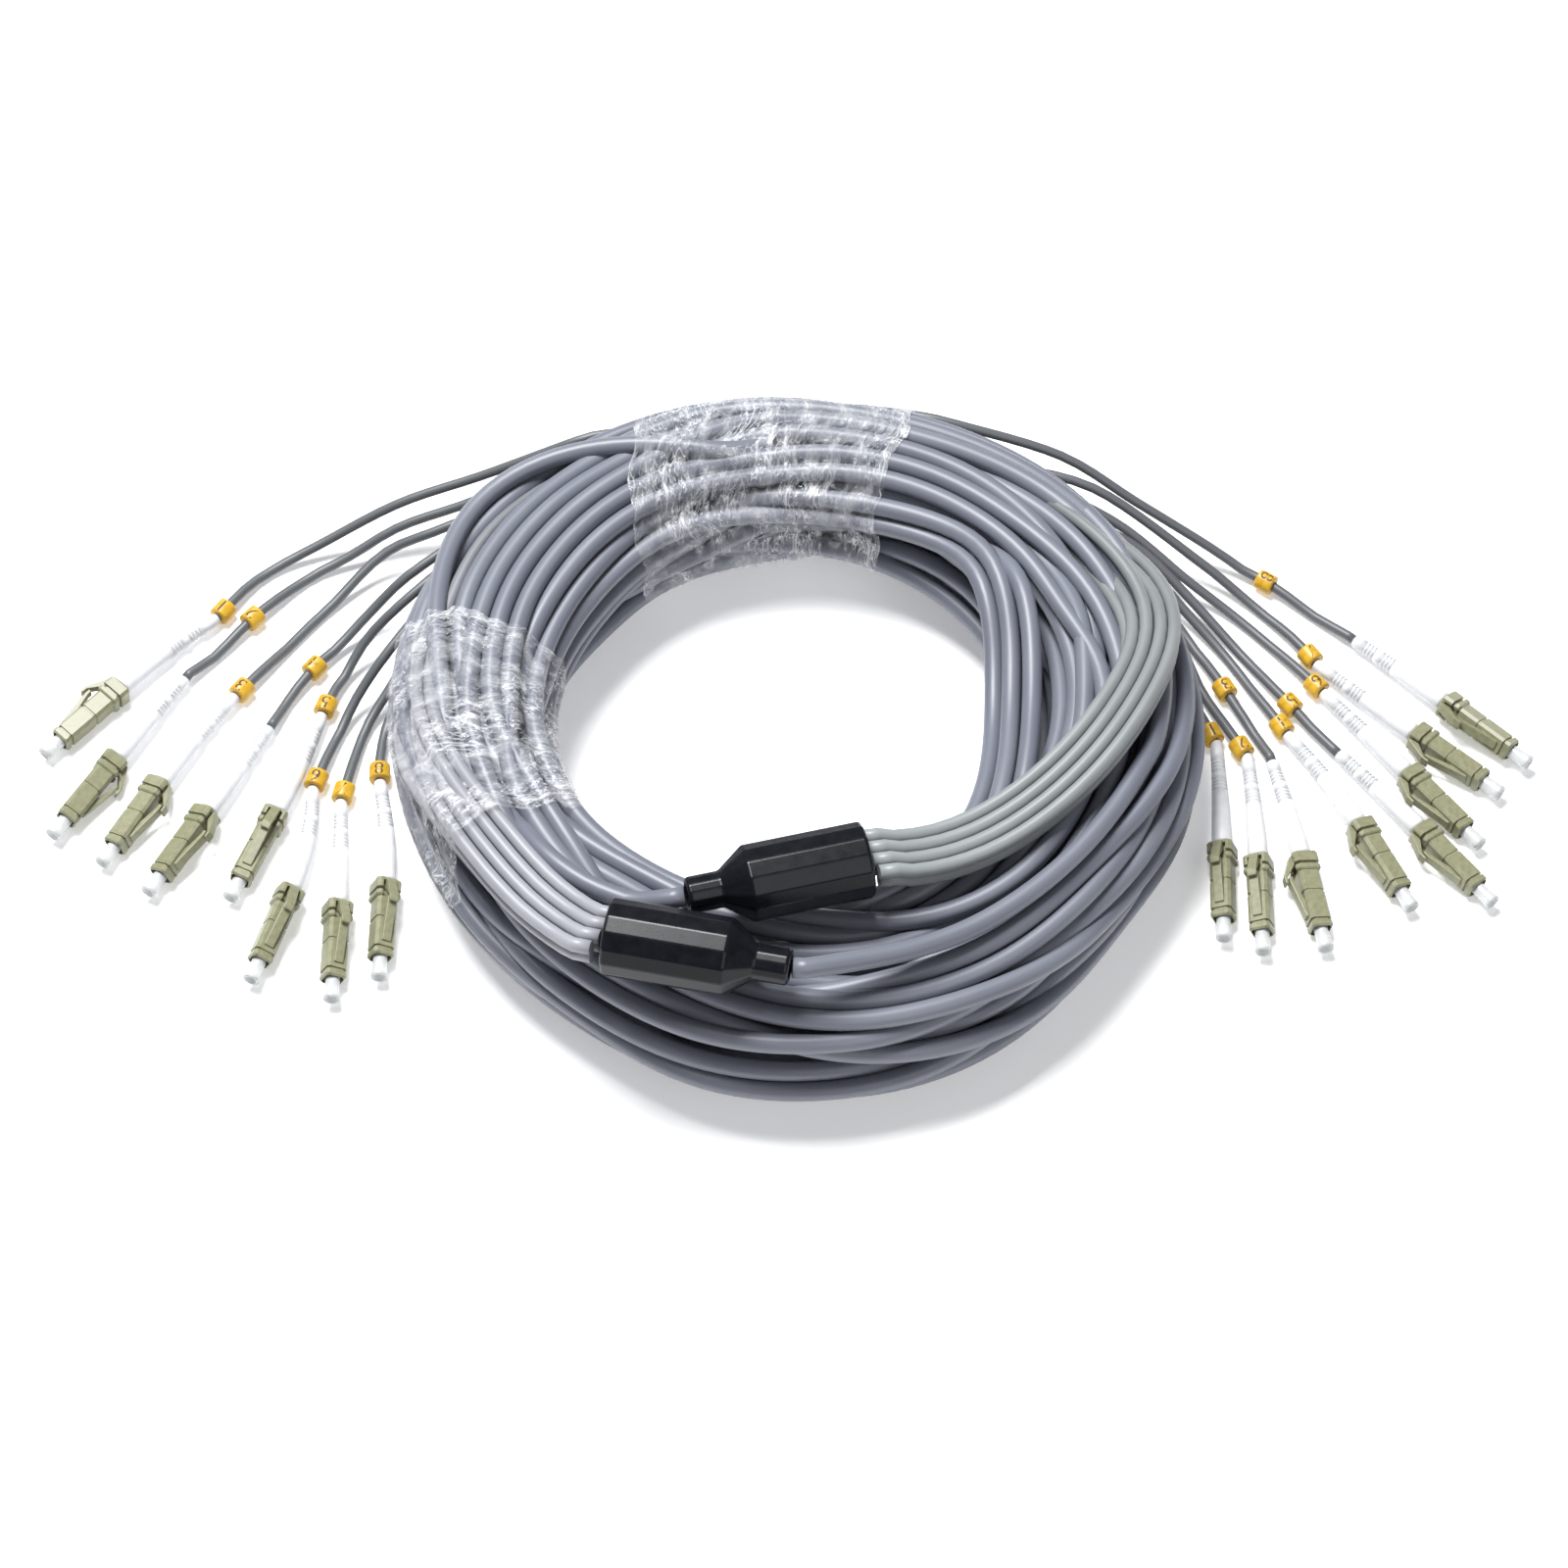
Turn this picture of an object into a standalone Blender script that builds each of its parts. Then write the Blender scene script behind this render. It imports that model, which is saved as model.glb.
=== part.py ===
"""Fibre breakout cable: one long trunk wound in a coil, split at each end into eight legs.

Both ends of the trunk run into a breakout housing on top of the coil. Eight thin legs leave each
housing, follow the coil, and spread over the floor in a left and a right fan. Every leg ends in a
small square fibre connector with a bent boot and a dust cap.

Metres, +Z up. The origin is the middle of the coil on the floor, and the fans open towards -Y.
"""
import math

import bmesh
import bpy
from mathutils import Vector

MM = 0.001

# Trunk cable and the coil that it is wound in
TRUNK_DIAMETER = 4.1 * MM
COIL_RADIUS = 66.0 * MM
BUNDLE_WIDTH = 41.5 * MM
BUNDLE_HEIGHT = 36.5 * MM
COIL_STATIONS = 48
FLAT_UNDERSIDE = 0.8 * MM
GROOVE_DEPTH = 1.0 * MM
SECTION_POWER = 2.4
TURN_RIDGES = 29

# How the wound bundle changes round the ring: angle, extra width, extra height, shift of its middle
# outwards, lift off the floor (degrees, mm)
BUNDLE = (
    (0.0, 0.0, 0.0, 0.0, 0.0),
    (45.0, -5.0, 0.5, 1.7, 0.0),
    (67.5, -7.4, 0.0, 0.9, 1.2),
    (120.0, -6.8, 0.0, 1.4, 1.2),
    (142.5, -3.8, 0.5, 1.1, 0.0),
    (165.0, -5.8, 0.0, 1.1, 1.2),
    (210.0, -8.2, -1.0, -2.4, 1.2),
    (235.0, -6.4, -2.6, -4.9, 0.0),
    (262.0, 0.8, -3.7, -3.1, 0.0),
    (297.0, 1.0, -3.7, -3.1, 0.0),
    (328.0, -2.0, -2.0, -5.2, 0.0),
    (348.0, 0.0, 0.0, -0.6, 0.0),
)

# Clear film wound round the coil: name, first and last ring station
FILM_THICKNESS = 0.6 * MM
FILM_WRAPS = (("film_wrap_back", 9, 16), ("film_wrap_left", 22, 28))

# What two touching pieces keep between them, and how far a cable runs straight from an end face
CLEARANCE = 0.3 * MM
STRAIGHT_END = 1.5 * MM

# Breakout housings: a faceted body, a cone and a neck
BREAKOUT_FACETS = 14
BREAKOUT_DIAMETER = 15.5 * MM
BREAKOUT_BODY = 24.2 * MM
BREAKOUT_CONE = 5.4 * MM
BREAKOUT_NECK_DIAMETER = 7.5 * MM
BREAKOUT_NECK = 6.8 * MM
BREAKOUT_TOTAL = BREAKOUT_BODY + BREAKOUT_CONE + BREAKOUT_NECK
BREAKOUT_RIM = 0.5 * MM

# Legs, the bundles in which they leave the housings, and the marker sleeve on each leg
LEG_DIAMETER = 2.2 * MM
LEG_BUNDLE_DIAMETER = 6.2 * MM
MARKER_DIAMETER = 4.8 * MM
MARKER_LENGTH = 4.0 * MM
MARKER_LIFT_SPAN = 14.0 * MM
FLOOR_GAP = 0.05 * MM
MARKER_HEIGHT = MARKER_DIAMETER / 2 + 2 * FLOOR_GAP

# Connector: rear block, front body, bent boot, latch and the recess that the dust cap fills
BLOCK_SIDE = 5.4 * MM
BLOCK_LENGTH = 4.6 * MM
BODY_SIDE = 4.5 * MM
BODY_LENGTH = 13.8 * MM
CORNER_CUT = 0.6 * MM
BOOT_LENGTH = 24.4 * MM
BOOT_DIAMETER = 4.3 * MM
BOOT_TIP_DIAMETER = 2.9 * MM
BOOT_RINGS = 5
LATCH_WIDTH = 2.0 * MM
LATCH_THICKNESS = 0.8 * MM
LATCH_RISE = 2.0 * MM
TRIGGER_RISE = 1.0 * MM
RECESS_DEPTH = 3.0 * MM
CAP_DIAMETER = 3.0 * MM
CAP_TIP_DIAMETER = 3.5 * MM
CAP_LENGTH = 4.6 * MM

# Breakout axes in plan: the big end, then a point towards the neck. These and the next points are
# angles round the coil and distances outwards from its middle circle (degrees, mm)
BREAKOUTS = {
    "a": ((240.5, 6.3), (270.25, 4.1)),
    "b": ((288.6, -18.3), (249.3, -8.5)),
}
# Plan points of the trunk's two ends and of the leg bundles, on top of the coil
TRUNK_TAILS = {
    "a": ((277.6, 5.4), (285.8, 3.6), (296.6, 1.1), (308.5, -0.2), (319.6, -0.4)),
    "b": ((242.7, -6.1), (235.8, -3.8), (227.3, -2.6), (219.6, -1.7), (213.2, -0.9)),
}
LEG_BUNDLES = {
    "a": ((232.6, 6.4), (225.0, 5.6), (218.4, 5.2), (212.8, 5.0)),
    "b": ((301.5, -16.3), (315.8, -13.0), (330.2, -8.4), (343.0, -3.2), (353.2, 1.5), (0.8, 5.0)),
}

# Each leg: where it leaves the coil (degrees, height), its route (outwards from the coil's middle circle
# to the left or right, y, height), the distance from marker to boot, then the connector's rear end, its
# heading, the boot's heading and the roll of the latch (mm, degrees)
LEGS = {
    "left_1": ((123.0, 27.0),
        ((1.1, 69.9, 17.0), (19.9, 66.6, 11.2), (37.0, 61.2, 4.0), (50.0, 54.0, 1.2)),
        4.2, (77.7, 22.7), 229.7, 225.4, 80.0),
    "left_2": ((125.5, 21.5),
        ((3.0, 66.2, 12.8), (19.7, 62.8, 7.8), (31.5, 58.0, 2.8), (40.0, 53.4, 1.2),
         (49.6, 43.4, 1.2), (57.4, 33.6, 1.2)),
        21.0, (76.9, 4.2), 239.9, 239.5, -115.0),
    "left_3": ((129.5, 15.0),
        ((11.0, 59.6, 10.6), (23.3, 56.4, 6.0), (35.0, 45.0, 1.2), (44.4, 32.8, 1.2)),
        4.0, (66.9, -2.0), 242.8, 239.0, -80.0),
    "left_4": ((139.0, 16.0),
        ((15.8, 46.5, 12.5), (24.8, 41.0, 6.0), (34.6, 31.0, 1.2), (41.4, 21.0, 1.2)),
        18.0, (56.3, -9.5), 242.1, 243.2, -66.0),
    "left_5": ((147.0, 15.0),
        ((17.9, 38.2, 12.0), (25.6, 33.0, 6.0), (31.3, 24.0, 1.2)),
        4.0, (41.9, -9.5), 249.5, 252.9, -12.0),
    "left_6": ((154.0, 13.0),
        ((20.2, 27.0, 10.0), (26.8, 19.0, 4.4), (30.8, 10.3, 1.2)),
        3.6, (37.4, -29.0), 253.2, 263.7, -30.0),
    "left_7": ((158.5, 9.5),
        ((19.6, 21.6, 4.8), (24.9, 12.2, 1.5)),
        3.6, (27.5, -32.6), 270.6, 272.5, -30.0),
    "left_8": ((162.0, 6.0),
        ((19.2, 16.2, 3.0), (21.0, 7.4, 1.2)),
        3.6, (17.9, -27.4), 270.0, 276.1, -30.0),
    "right_1": ((24.0, 6.0),
        ((16.8, 27.5, 3.6), (20.8, 19.4, 1.4)),
        4.2, (24.4, -18.1), 267.2, 268.6, 25.0),
    "right_2": ((30.0, 8.0),
        ((16.2, 38.2, 5.0), (20.2, 30.4, 2.2), (23.4, 21.6, 1.2)),
        4.0, (31.7, -21.3), 268.5, 270.7, 25.0),
    "right_3": ((35.0, 10.0),
        ((13.9, 44.4, 5.6), (19.4, 38.0, 2.4), (24.4, 29.3, 1.2), (28.8, 20.3, 1.2),
         (33.4, 11.5, 1.2)),
        21.0, (40.8, -20.6), 278.2, 280.1, 80.0),
    "right_4": ((39.0, 12.5),
        ((13.0, 48.8, 8.4), (20.6, 41.8, 4.0), (28.8, 31.8, 1.2), (35.0, 20.5, 1.2)),
        4.2, (53.3, -12.5), 294.0, 299.0, 75.0),
    "right_5": ((44.0, 15.0),
        ((11.2, 54.0, 10.0), (22.5, 43.9, 4.4), (31.6, 33.2, 1.2), (39.4, 21.4, 1.2)),
        15.7, (65.9, -13.7), 306.5, 307.8, 80.0),
    "right_6": ((49.0, 17.0),
        ((6.7, 59.7, 11.8), (20.6, 50.2, 5.4), (30.2, 43.6, 1.8), (38.7, 34.8, 1.2)),
        4.0, (64.7, 0.5), 306.9, 306.9, 80.0),
    "right_7": ((55.0, 18.5),
        ((1.5, 66.0, 16.5), (23.2, 54.8, 6.4), (34.8, 46.4, 1.6), (42.6, 37.6, 1.2)),
        4.4, (67.2, 10.6), 317.5, 316.0, 80.0),
    "right_8": ((64.0, 27.0),
        ((-6.6, 71.9, 21.2), (10.0, 65.3, 13.4), (26.7, 58.6, 5.6), (37.6, 52.3, 1.4),
         (47.3, 44.2, 1.2)),
        24.0, (74.4, 18.6), 315.7, 315.9, 60.0),
}


def start_clean():
    for item in list(bpy.data.objects):
        bpy.data.objects.remove(item, do_unlink=True)
    parts = bpy.data.collections.new("fibre_breakout_cable")
    cutters = bpy.data.collections.new("latches_to_join")
    for group in (parts, cutters):
        bpy.context.scene.collection.children.link(group)
    return parts, cutters


def material(name, colour, roughness, alpha=1.0):
    made = bpy.data.materials.new(name)
    made.use_nodes = True
    shader = made.node_tree.nodes["Principled BSDF"]
    shader.inputs["Base Color"].default_value = (*colour, 1.0)
    shader.inputs["Roughness"].default_value = roughness
    shader.inputs["Metallic"].default_value = 0.0
    shader.inputs["Alpha"].default_value = alpha
    return made


def ease(share):
    return share * share * (3.0 - 2.0 * share)


def bundle_at(angle):
    """Width, height, middle radius and lift of the wound bundle at an angle in degrees."""
    angle %= 360.0
    plain = (BUNDLE_WIDTH, BUNDLE_HEIGHT, COIL_RADIUS, 0.0)
    rows = BUNDLE + ((360.0,) + BUNDLE[0][1:],)
    for low, high in zip(rows, rows[1:]):
        if low[0] <= angle <= high[0]:
            share = ease((angle - low[0]) / (high[0] - low[0]))
            changes = [a + (b - a) * share for a, b in zip(low[1:], high[1:])]
            return [size + change * MM for size, change in zip(plain, changes)]
    raise ValueError(angle)


def rounding(offset):
    """How far a superellipse still reaches one way when it is offset by a share the other way."""
    return max(0.0, 1.0 - abs(offset) ** SECTION_POWER) ** (1.0 / SECTION_POWER)


def bundle_axis_height(angle):
    _, height, _, lift = bundle_at(angle)
    return lift + height / 2 - FLAT_UNDERSIDE


def coil_top(angle, outward):
    """Height of the coil's upper surface, some mm outside its middle circle."""
    width, height, middle, _ = bundle_at(angle)
    across = (COIL_RADIUS + outward * MM - middle) / (width / 2)
    return bundle_axis_height(angle) + height / 2 * rounding(across)


def polar(angle, radius, z):
    turn = math.radians(angle)
    return Vector((radius * math.cos(turn), radius * math.sin(turn), z))


def on_ring(angle, outward, z):
    return polar(angle, COIL_RADIUS + outward * MM, z)


def in_fan(key, outward, y, z):
    """A point of the left or the right fan."""
    side = -1.0 if key.startswith("left") else 1.0
    return Vector((side * (COIL_RADIUS + outward * MM), y * MM, z))


def section(angle, grow, grooved):
    """Closed outline of the bundle at an angle, with a groove between neighbouring turns if asked."""
    width, height, middle, lift = bundle_at(angle)
    axis_height = bundle_axis_height(angle)
    steps = TURN_RIDGES * (2 if grooved else 1)
    outline = []
    for step in range(steps):
        turn = math.tau * step / steps
        wave = [math.copysign(abs(w) ** (2 / SECTION_POWER), w) for w in (math.cos(turn), math.sin(turn))]
        pressed = axis_height + wave[1] * (height / 2 + grow) < lift - grow - FLAT_UNDERSIDE / 2
        depth = GROOVE_DEPTH if grooved and step % 2 and not pressed else 0.0
        across = wave[0] * (width / 2 + grow - depth)
        upward = wave[1] * (height / 2 + grow - depth)
        outline.append(polar(angle, middle + across, max(axis_height + upward, lift - grow)))
    return outline


def coil_side(angle, z, margin):
    """The point a margin outside the coil's grooved outer side, at an angle and a height."""
    outline = section(angle, margin, True)
    outer = [outline[i] for i in range(1 - len(outline) // 4, len(outline) // 4)]
    for low, high in zip(outer, outer[1:]):
        if low.z <= z <= high.z:
            return low.lerp(high, (z - low.z) / (high.z - low.z))
    raise ValueError(z)


def loft(name, rings, group, paint, closed=False):
    """One closed body through rings of equally many points. Open rows get end faces."""
    shape = bmesh.new()
    rows = [[shape.verts.new(point) for point in ring] for ring in rings]
    pairs = list(zip(rows, rows[1:] + rows[:1])) if closed else list(zip(rows, rows[1:]))
    for low, high in pairs:
        count = len(low)
        for i in range(count):
            j = (i + 1) % count
            shape.faces.new((low[i], low[j], high[j], high[i]))
    if not closed:
        shape.faces.new(rows[0])
        shape.faces.new(rows[-1])
    bmesh.ops.recalc_face_normals(shape, faces=shape.faces)
    mesh = bpy.data.meshes.new(name)
    shape.to_mesh(mesh)
    shape.free()
    body = bpy.data.objects.new(name, mesh)
    body.data.materials.append(paint)
    group.objects.link(body)
    return body


def smooth_route(points, step):
    """Points about a step apart on a smooth curve through the given ones."""
    ends = [points[0] * 2 - points[1]] + list(points) + [points[-1] * 2 - points[-2]]
    fine = []
    for before, start, end, after in zip(ends, ends[1:], ends[2:], ends[3:]):
        pieces = max(1, round((end - start).length / (step / 4)))
        for i in range(pieces):
            t = i / pieces
            fine.append(0.5 * (2 * start + (end - before) * t
                               + (2 * before - 5 * start + 4 * end - after) * t ** 2
                               + (3 * start - before - 3 * end + after) * t ** 3))
    fine.append(points[-1])
    route = fine[::4]
    if (fine[-1] - route[-1]).length < step / 2:
        route.pop()
    return route + [fine[-1]]


def tube(name, route, diameter, group, paint, swell=None):
    """A cable as a bevelled curve. The swell gives each point's share of the plain radius."""
    curve = bpy.data.curves.new(name, "CURVE")
    curve.dimensions = "3D"
    curve.bevel_depth = diameter / 2
    curve.bevel_resolution = 2
    curve.use_fill_caps = True
    curve.render_resolution_u = 0
    spline = curve.splines.new("POLY")
    spline.points.add(len(route) - 1)
    for i, (dot, place) in enumerate(zip(spline.points, route)):
        dot.co = (*place, 1.0)
        dot.radius = swell[i] if swell else 1.0
    curve.materials.append(paint)
    body = bpy.data.objects.new(name, curve)
    group.objects.link(body)
    return body


def make_coil(group, paint):
    stations = [360.0 * i / COIL_STATIONS for i in range(COIL_STATIONS)]
    return loft("trunk_coil", [section(angle, 0.0, True) for angle in stations], group, paint, True)


def make_film(name, first, last, group, paint):
    angles = [360.0 * i / COIL_STATIONS for i in range(first, last + 1)]
    outer = [section(angle, CLEARANCE + FILM_THICKNESS, False) for angle in angles]
    inner = [section(angle, CLEARANCE, False) for angle in reversed(angles)]
    return loft(name, outer + inner, group, paint, True)


def breakout_height():
    """Height of a housing's axis: its body rests on the front of the coil."""
    _, height, _, _ = bundle_at(270.0)
    return height - FLAT_UNDERSIDE + CLEARANCE + BREAKOUT_DIAMETER / 2


def breakout_ends(key):
    """The middles of a housing's two end faces, big end first."""
    big_end, towards = [on_ring(angle, outward, breakout_height()) for angle, outward in BREAKOUTS[key]]
    return big_end, big_end + (towards - big_end).normalized() * BREAKOUT_TOTAL


def make_breakout(key, group, paint):
    big_end, neck_end = breakout_ends(key)
    along = (neck_end - big_end).normalized()
    aside = along.cross(Vector((0, 0, 1))).normalized()
    body = BREAKOUT_DIAMETER / 2
    neck = BREAKOUT_NECK_DIAMETER / 2
    profile = (
        (0.0, body - BREAKOUT_RIM),
        (BREAKOUT_RIM, body),
        (BREAKOUT_BODY, body),
        (BREAKOUT_BODY + BREAKOUT_CONE, neck),
        (BREAKOUT_TOTAL - BREAKOUT_RIM, neck),
        (BREAKOUT_TOTAL, neck - BREAKOUT_RIM),
    )
    rings = []
    for distance, radius in profile:
        ring = []
        for i in range(BREAKOUT_FACETS):
            turn = math.tau * (i + 0.5) / BREAKOUT_FACETS
            ring.append(big_end + along * distance + aside * radius * math.cos(turn)
                        + Vector((0, 0, radius * math.sin(turn))))
        rings.append(ring)
    return loft("breakout_" + key, rings, group, paint)


def run_on_coil(start, away, plan, diameter, name, group, paint):
    """A cable from a housing's end face down onto the top of the coil, along plan points."""
    route = [start + away * (CLEARANCE + STRAIGHT_END)]
    for i, (angle, outward) in enumerate(plan):
        rest = coil_top(angle, outward) + CLEARANCE + diameter / 2
        drop = ease(min(1.0, (i + 1) / 2))
        route.append(on_ring(angle, outward, start.z + (rest - start.z) * drop))
    bends = smooth_route(route, diameter * 1.6)
    return tube(name, [start + away * CLEARANCE] + bends, diameter, group, paint)


def turned_frame(heading, roll):
    """Forward, side and latch directions of a connector."""
    turn = math.radians(heading)
    forward = Vector((math.cos(turn), math.sin(turn), 0.0))
    right = forward.cross(Vector((0, 0, 1)))
    lean = math.radians(roll)
    up = Vector((0, 0, 1)) * math.cos(lean) + right * math.sin(lean)
    side = up.cross(forward)
    return forward, side, up


def eight_points(half, cut):
    """A square with cut corners."""
    near = half - cut
    return [(half, near), (near, half), (-near, half), (-half, near),
            (-half, -near), (-near, -half), (near, -half), (half, -near)]


def round_points(radius):
    """Eight points on a circle, in the order of the cut square's points."""
    turns = [math.radians(22.5 + 45.0 * i) for i in range(8)]
    return [(radius * math.cos(t), radius * math.sin(t)) for t in turns]


def place(points, centre, side, up):
    return [centre + side * u + up * v for u, v in points]


def latch_outlines():
    """The sprung latch over the body and the trigger over its tip, as (distance, height) outlines."""
    top = BODY_SIDE / 2
    sunk = LATCH_THICKNESS / 2
    tip = BLOCK_LENGTH + 1.0 * MM
    root = BLOCK_LENGTH + BODY_LENGTH * 0.78
    peak = top + LATCH_RISE
    latch = [(root, top - sunk), (root, top + sunk), (tip + 1.2 * MM, peak), (tip, peak),
             (tip, peak - LATCH_THICKNESS), (tip + 1.0 * MM, peak - LATCH_THICKNESS),
             (root - 3.0 * MM, top - sunk)]
    hook = peak + TRIGGER_RISE
    trigger = [(0.6 * MM, BLOCK_SIDE / 2 - sunk), (0.6 * MM, BLOCK_SIDE / 2 + sunk),
               (tip, hook), (tip + 1.6 * MM, hook), (tip + 1.6 * MM, hook - LATCH_THICKNESS * 0.7),
               (tip + 0.2 * MM, hook - LATCH_THICKNESS * 0.8), (2.6 * MM, BLOCK_SIDE / 2 - sunk)]
    return latch, trigger


def rest_height(side, up):
    """Height of the connector's axis when its lowest corner is on the floor."""
    corners = place(eight_points(BLOCK_SIDE / 2, CORNER_CUT), Vector(), side, up)
    for outline in latch_outlines():
        corners += [side * (sign * LATCH_WIDTH / 2) + up * h for _, h in outline for sign in (-1, 1)]
    return FLOOR_GAP - min(corner.z for corner in corners)


def boot_path(rear, heading, boot_heading):
    """Centres and directions from the boot's cable end to the connector's rear face."""
    centres = [rear]
    headings = [heading]
    step = BOOT_LENGTH / (BOOT_RINGS - 1)
    for i in range(1, BOOT_RINGS):
        share = i / (BOOT_RINGS - 1)
        bend = heading + 2 * (boot_heading - heading) * (share - 0.5 / (BOOT_RINGS - 1))
        back = turned_frame(bend, 0.0)[0] * -step
        dip = rear.z + (MARKER_HEIGHT - rear.z) * share
        centres.append(Vector((*(centres[-1] + back).xy, dip)))
        headings.append(bend)
    return centres[::-1], headings[::-1]


def connector_place(key):
    """Rear centre and the three directions of a connector."""
    _, _, _, (outward, y), heading, _, roll = LEGS[key]
    forward, side, up = turned_frame(heading, roll)
    return in_fan(key, outward, y, rest_height(side, up)), forward, side, up


def make_connector(key, group, cutters, paint):
    heading, boot_heading, roll = LEGS[key][4:]
    rear, forward, side, up = connector_place(key)
    centres, headings = boot_path(rear, heading, boot_heading)
    rings = []
    for i, (centre, bend) in enumerate(zip(centres, headings)):
        share = i / (BOOT_RINGS - 1)
        radius = (BOOT_TIP_DIAMETER + (BOOT_DIAMETER - BOOT_TIP_DIAMETER) * share) / 2
        _, ring_side, ring_up = turned_frame(bend, roll)
        rings.append(place(round_points(radius), centre, ring_side, ring_up))
    block = eight_points(BLOCK_SIDE / 2, CORNER_CUT)
    body = eight_points(BODY_SIDE / 2, CORNER_CUT)
    recess = round_points(CAP_DIAMETER / 2 + CLEARANCE)
    front = BLOCK_LENGTH + BODY_LENGTH
    for points, distance in ((block, 0.1 * MM), (block, BLOCK_LENGTH), (body, BLOCK_LENGTH + 0.6 * MM),
                             (body, front), (recess, front), (recess, front - RECESS_DEPTH)):
        rings.append(place(points, rear + forward * distance, side, up))
    housing = loft("lc_connector_" + key, rings, group, paint)
    for label, outline in zip(("latch", "trigger"), latch_outlines()):
        flanks = [[rear + forward * along + up * height + side * (sign * LATCH_WIDTH / 2)
                   for along, height in outline] for sign in (-1, 1)]
        piece = loft(label + "_" + key, flanks, cutters, paint)
        piece.hide_render = True
        piece.display_type = "WIRE"
        join = housing.modifiers.new(label, "BOOLEAN")
        join.operation = "UNION"
        join.solver = "EXACT"
        join.object = piece
    return centres[0], turned_frame(headings[0], 0.0)[0]


def make_cap(key, group, paint):
    rear, forward, side, up = connector_place(key)
    front = BLOCK_LENGTH + BODY_LENGTH
    profile = (
        (CLEARANCE - RECESS_DEPTH, CAP_DIAMETER / 2),
        (CAP_LENGTH * 0.25, CAP_DIAMETER / 2),
        (CAP_LENGTH * 0.9, CAP_TIP_DIAMETER / 2),
        (CAP_LENGTH, CAP_TIP_DIAMETER / 2 - CAP_LENGTH * 0.08),
    )
    rings = [place(round_points(radius), rear + forward * (front + distance), side, up)
             for distance, radius in profile]
    return loft("dust_cap_" + key, rings, group, paint)


def make_leg(key, boot_tip, boot_direction, group, paint):
    """A leg from the side of the coil to its boot, lifted and swollen where the marker sleeve sits."""
    (angle, height), plan, marker_gap = LEGS[key][:3]
    leave = coil_side(angle, height * MM, CLEARANCE + LEG_DIAMETER / 2)
    end = boot_tip - boot_direction * CLEARANCE
    bends = [in_fan(key, outward, y, z * MM) for outward, y, z in plan]
    corners = [leave] + bends + [end - boot_direction * STRAIGHT_END]
    route = smooth_route(corners, LEG_DIAMETER * 2.6) + [end]
    reach = [0.0]
    for before, after in zip(route, route[1:]):
        reach.append(reach[-1] + (after - before).length)
    marker = reach[-1] - marker_gap * MM
    edges = [marker - MARKER_LENGTH / 2 - CLEARANCE, marker - MARKER_LENGTH / 2,
             marker + MARKER_LENGTH / 2, marker + MARKER_LENGTH / 2 + CLEARANCE]
    stops = [s for s in reach if s < edges[0] - CLEARANCE or s > edges[-1] + CLEARANCE] + edges
    full = MARKER_DIAMETER / LEG_DIAMETER
    lifted = []
    swell = []
    for stop in sorted(stops):
        index = max(i for i, s in enumerate(reach[:-1]) if s <= stop)
        share = (stop - reach[index]) / (reach[index + 1] - reach[index])
        spot = route[index].lerp(route[index + 1], share)
        near = max(0.0, 1.0 - abs(stop - marker) / MARKER_LIFT_SPAN)
        lying = LEG_DIAMETER / 2 + 2 * FLOOR_GAP
        spot.z = max(spot.z, lying + (MARKER_HEIGHT - lying) * ease(near) ** 0.5)
        lifted.append(spot)
        swell.append(full if stop in edges[1:3] else 1.0)
    return tube("leg_" + key, lifted, LEG_DIAMETER, group, paint, swell)


def main():
    parts, cutters = start_clean()
    jacket = material("grey_jacket", (0.27, 0.29, 0.35), 0.45)
    black = material("black_plastic", (0.012, 0.013, 0.016), 0.25)
    beige = material("beige_plastic", (0.45, 0.45, 0.31), 0.4)
    clear = material("clear_film", (0.86, 0.88, 0.9), 0.12, 0.35)
    white = material("milky_cap", (0.9, 0.9, 0.9), 0.3)
    make_coil(parts, jacket)
    for name, first, last in FILM_WRAPS:
        make_film(name, first, last, parts, clear)
    for key in BREAKOUTS:
        make_breakout(key, parts, black)
        big_end, neck_end = breakout_ends(key)
        along = (neck_end - big_end).normalized()
        run_on_coil(neck_end, along, TRUNK_TAILS[key], TRUNK_DIAMETER, "trunk_tail_" + key, parts, jacket)
        run_on_coil(big_end, -along, LEG_BUNDLES[key], LEG_BUNDLE_DIAMETER, "leg_bundle_" + key,
                    parts, jacket)
    for key in LEGS:
        boot_tip, boot_direction = make_connector(key, parts, cutters, beige)
        make_leg(key, boot_tip, boot_direction, parts, jacket)
        make_cap(key, parts, white)


main()
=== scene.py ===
"""Looks of the fibre breakout cable.

The trunk cable is one cord wound in a coil, the sixteen legs are cords from the breakout housings,
under the trunk's turns and out to their connectors, and two wraps of clear film hold the coil.
Boots, connectors, marker sleeves and dust caps are detailed pieces at the places of their CAD nodes.

Metres, +Z up, in the frame of the CAD model.
"""
import math

import bmesh
import bpy
import numpy as np
from mathutils import Matrix, Vector, noise


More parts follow.
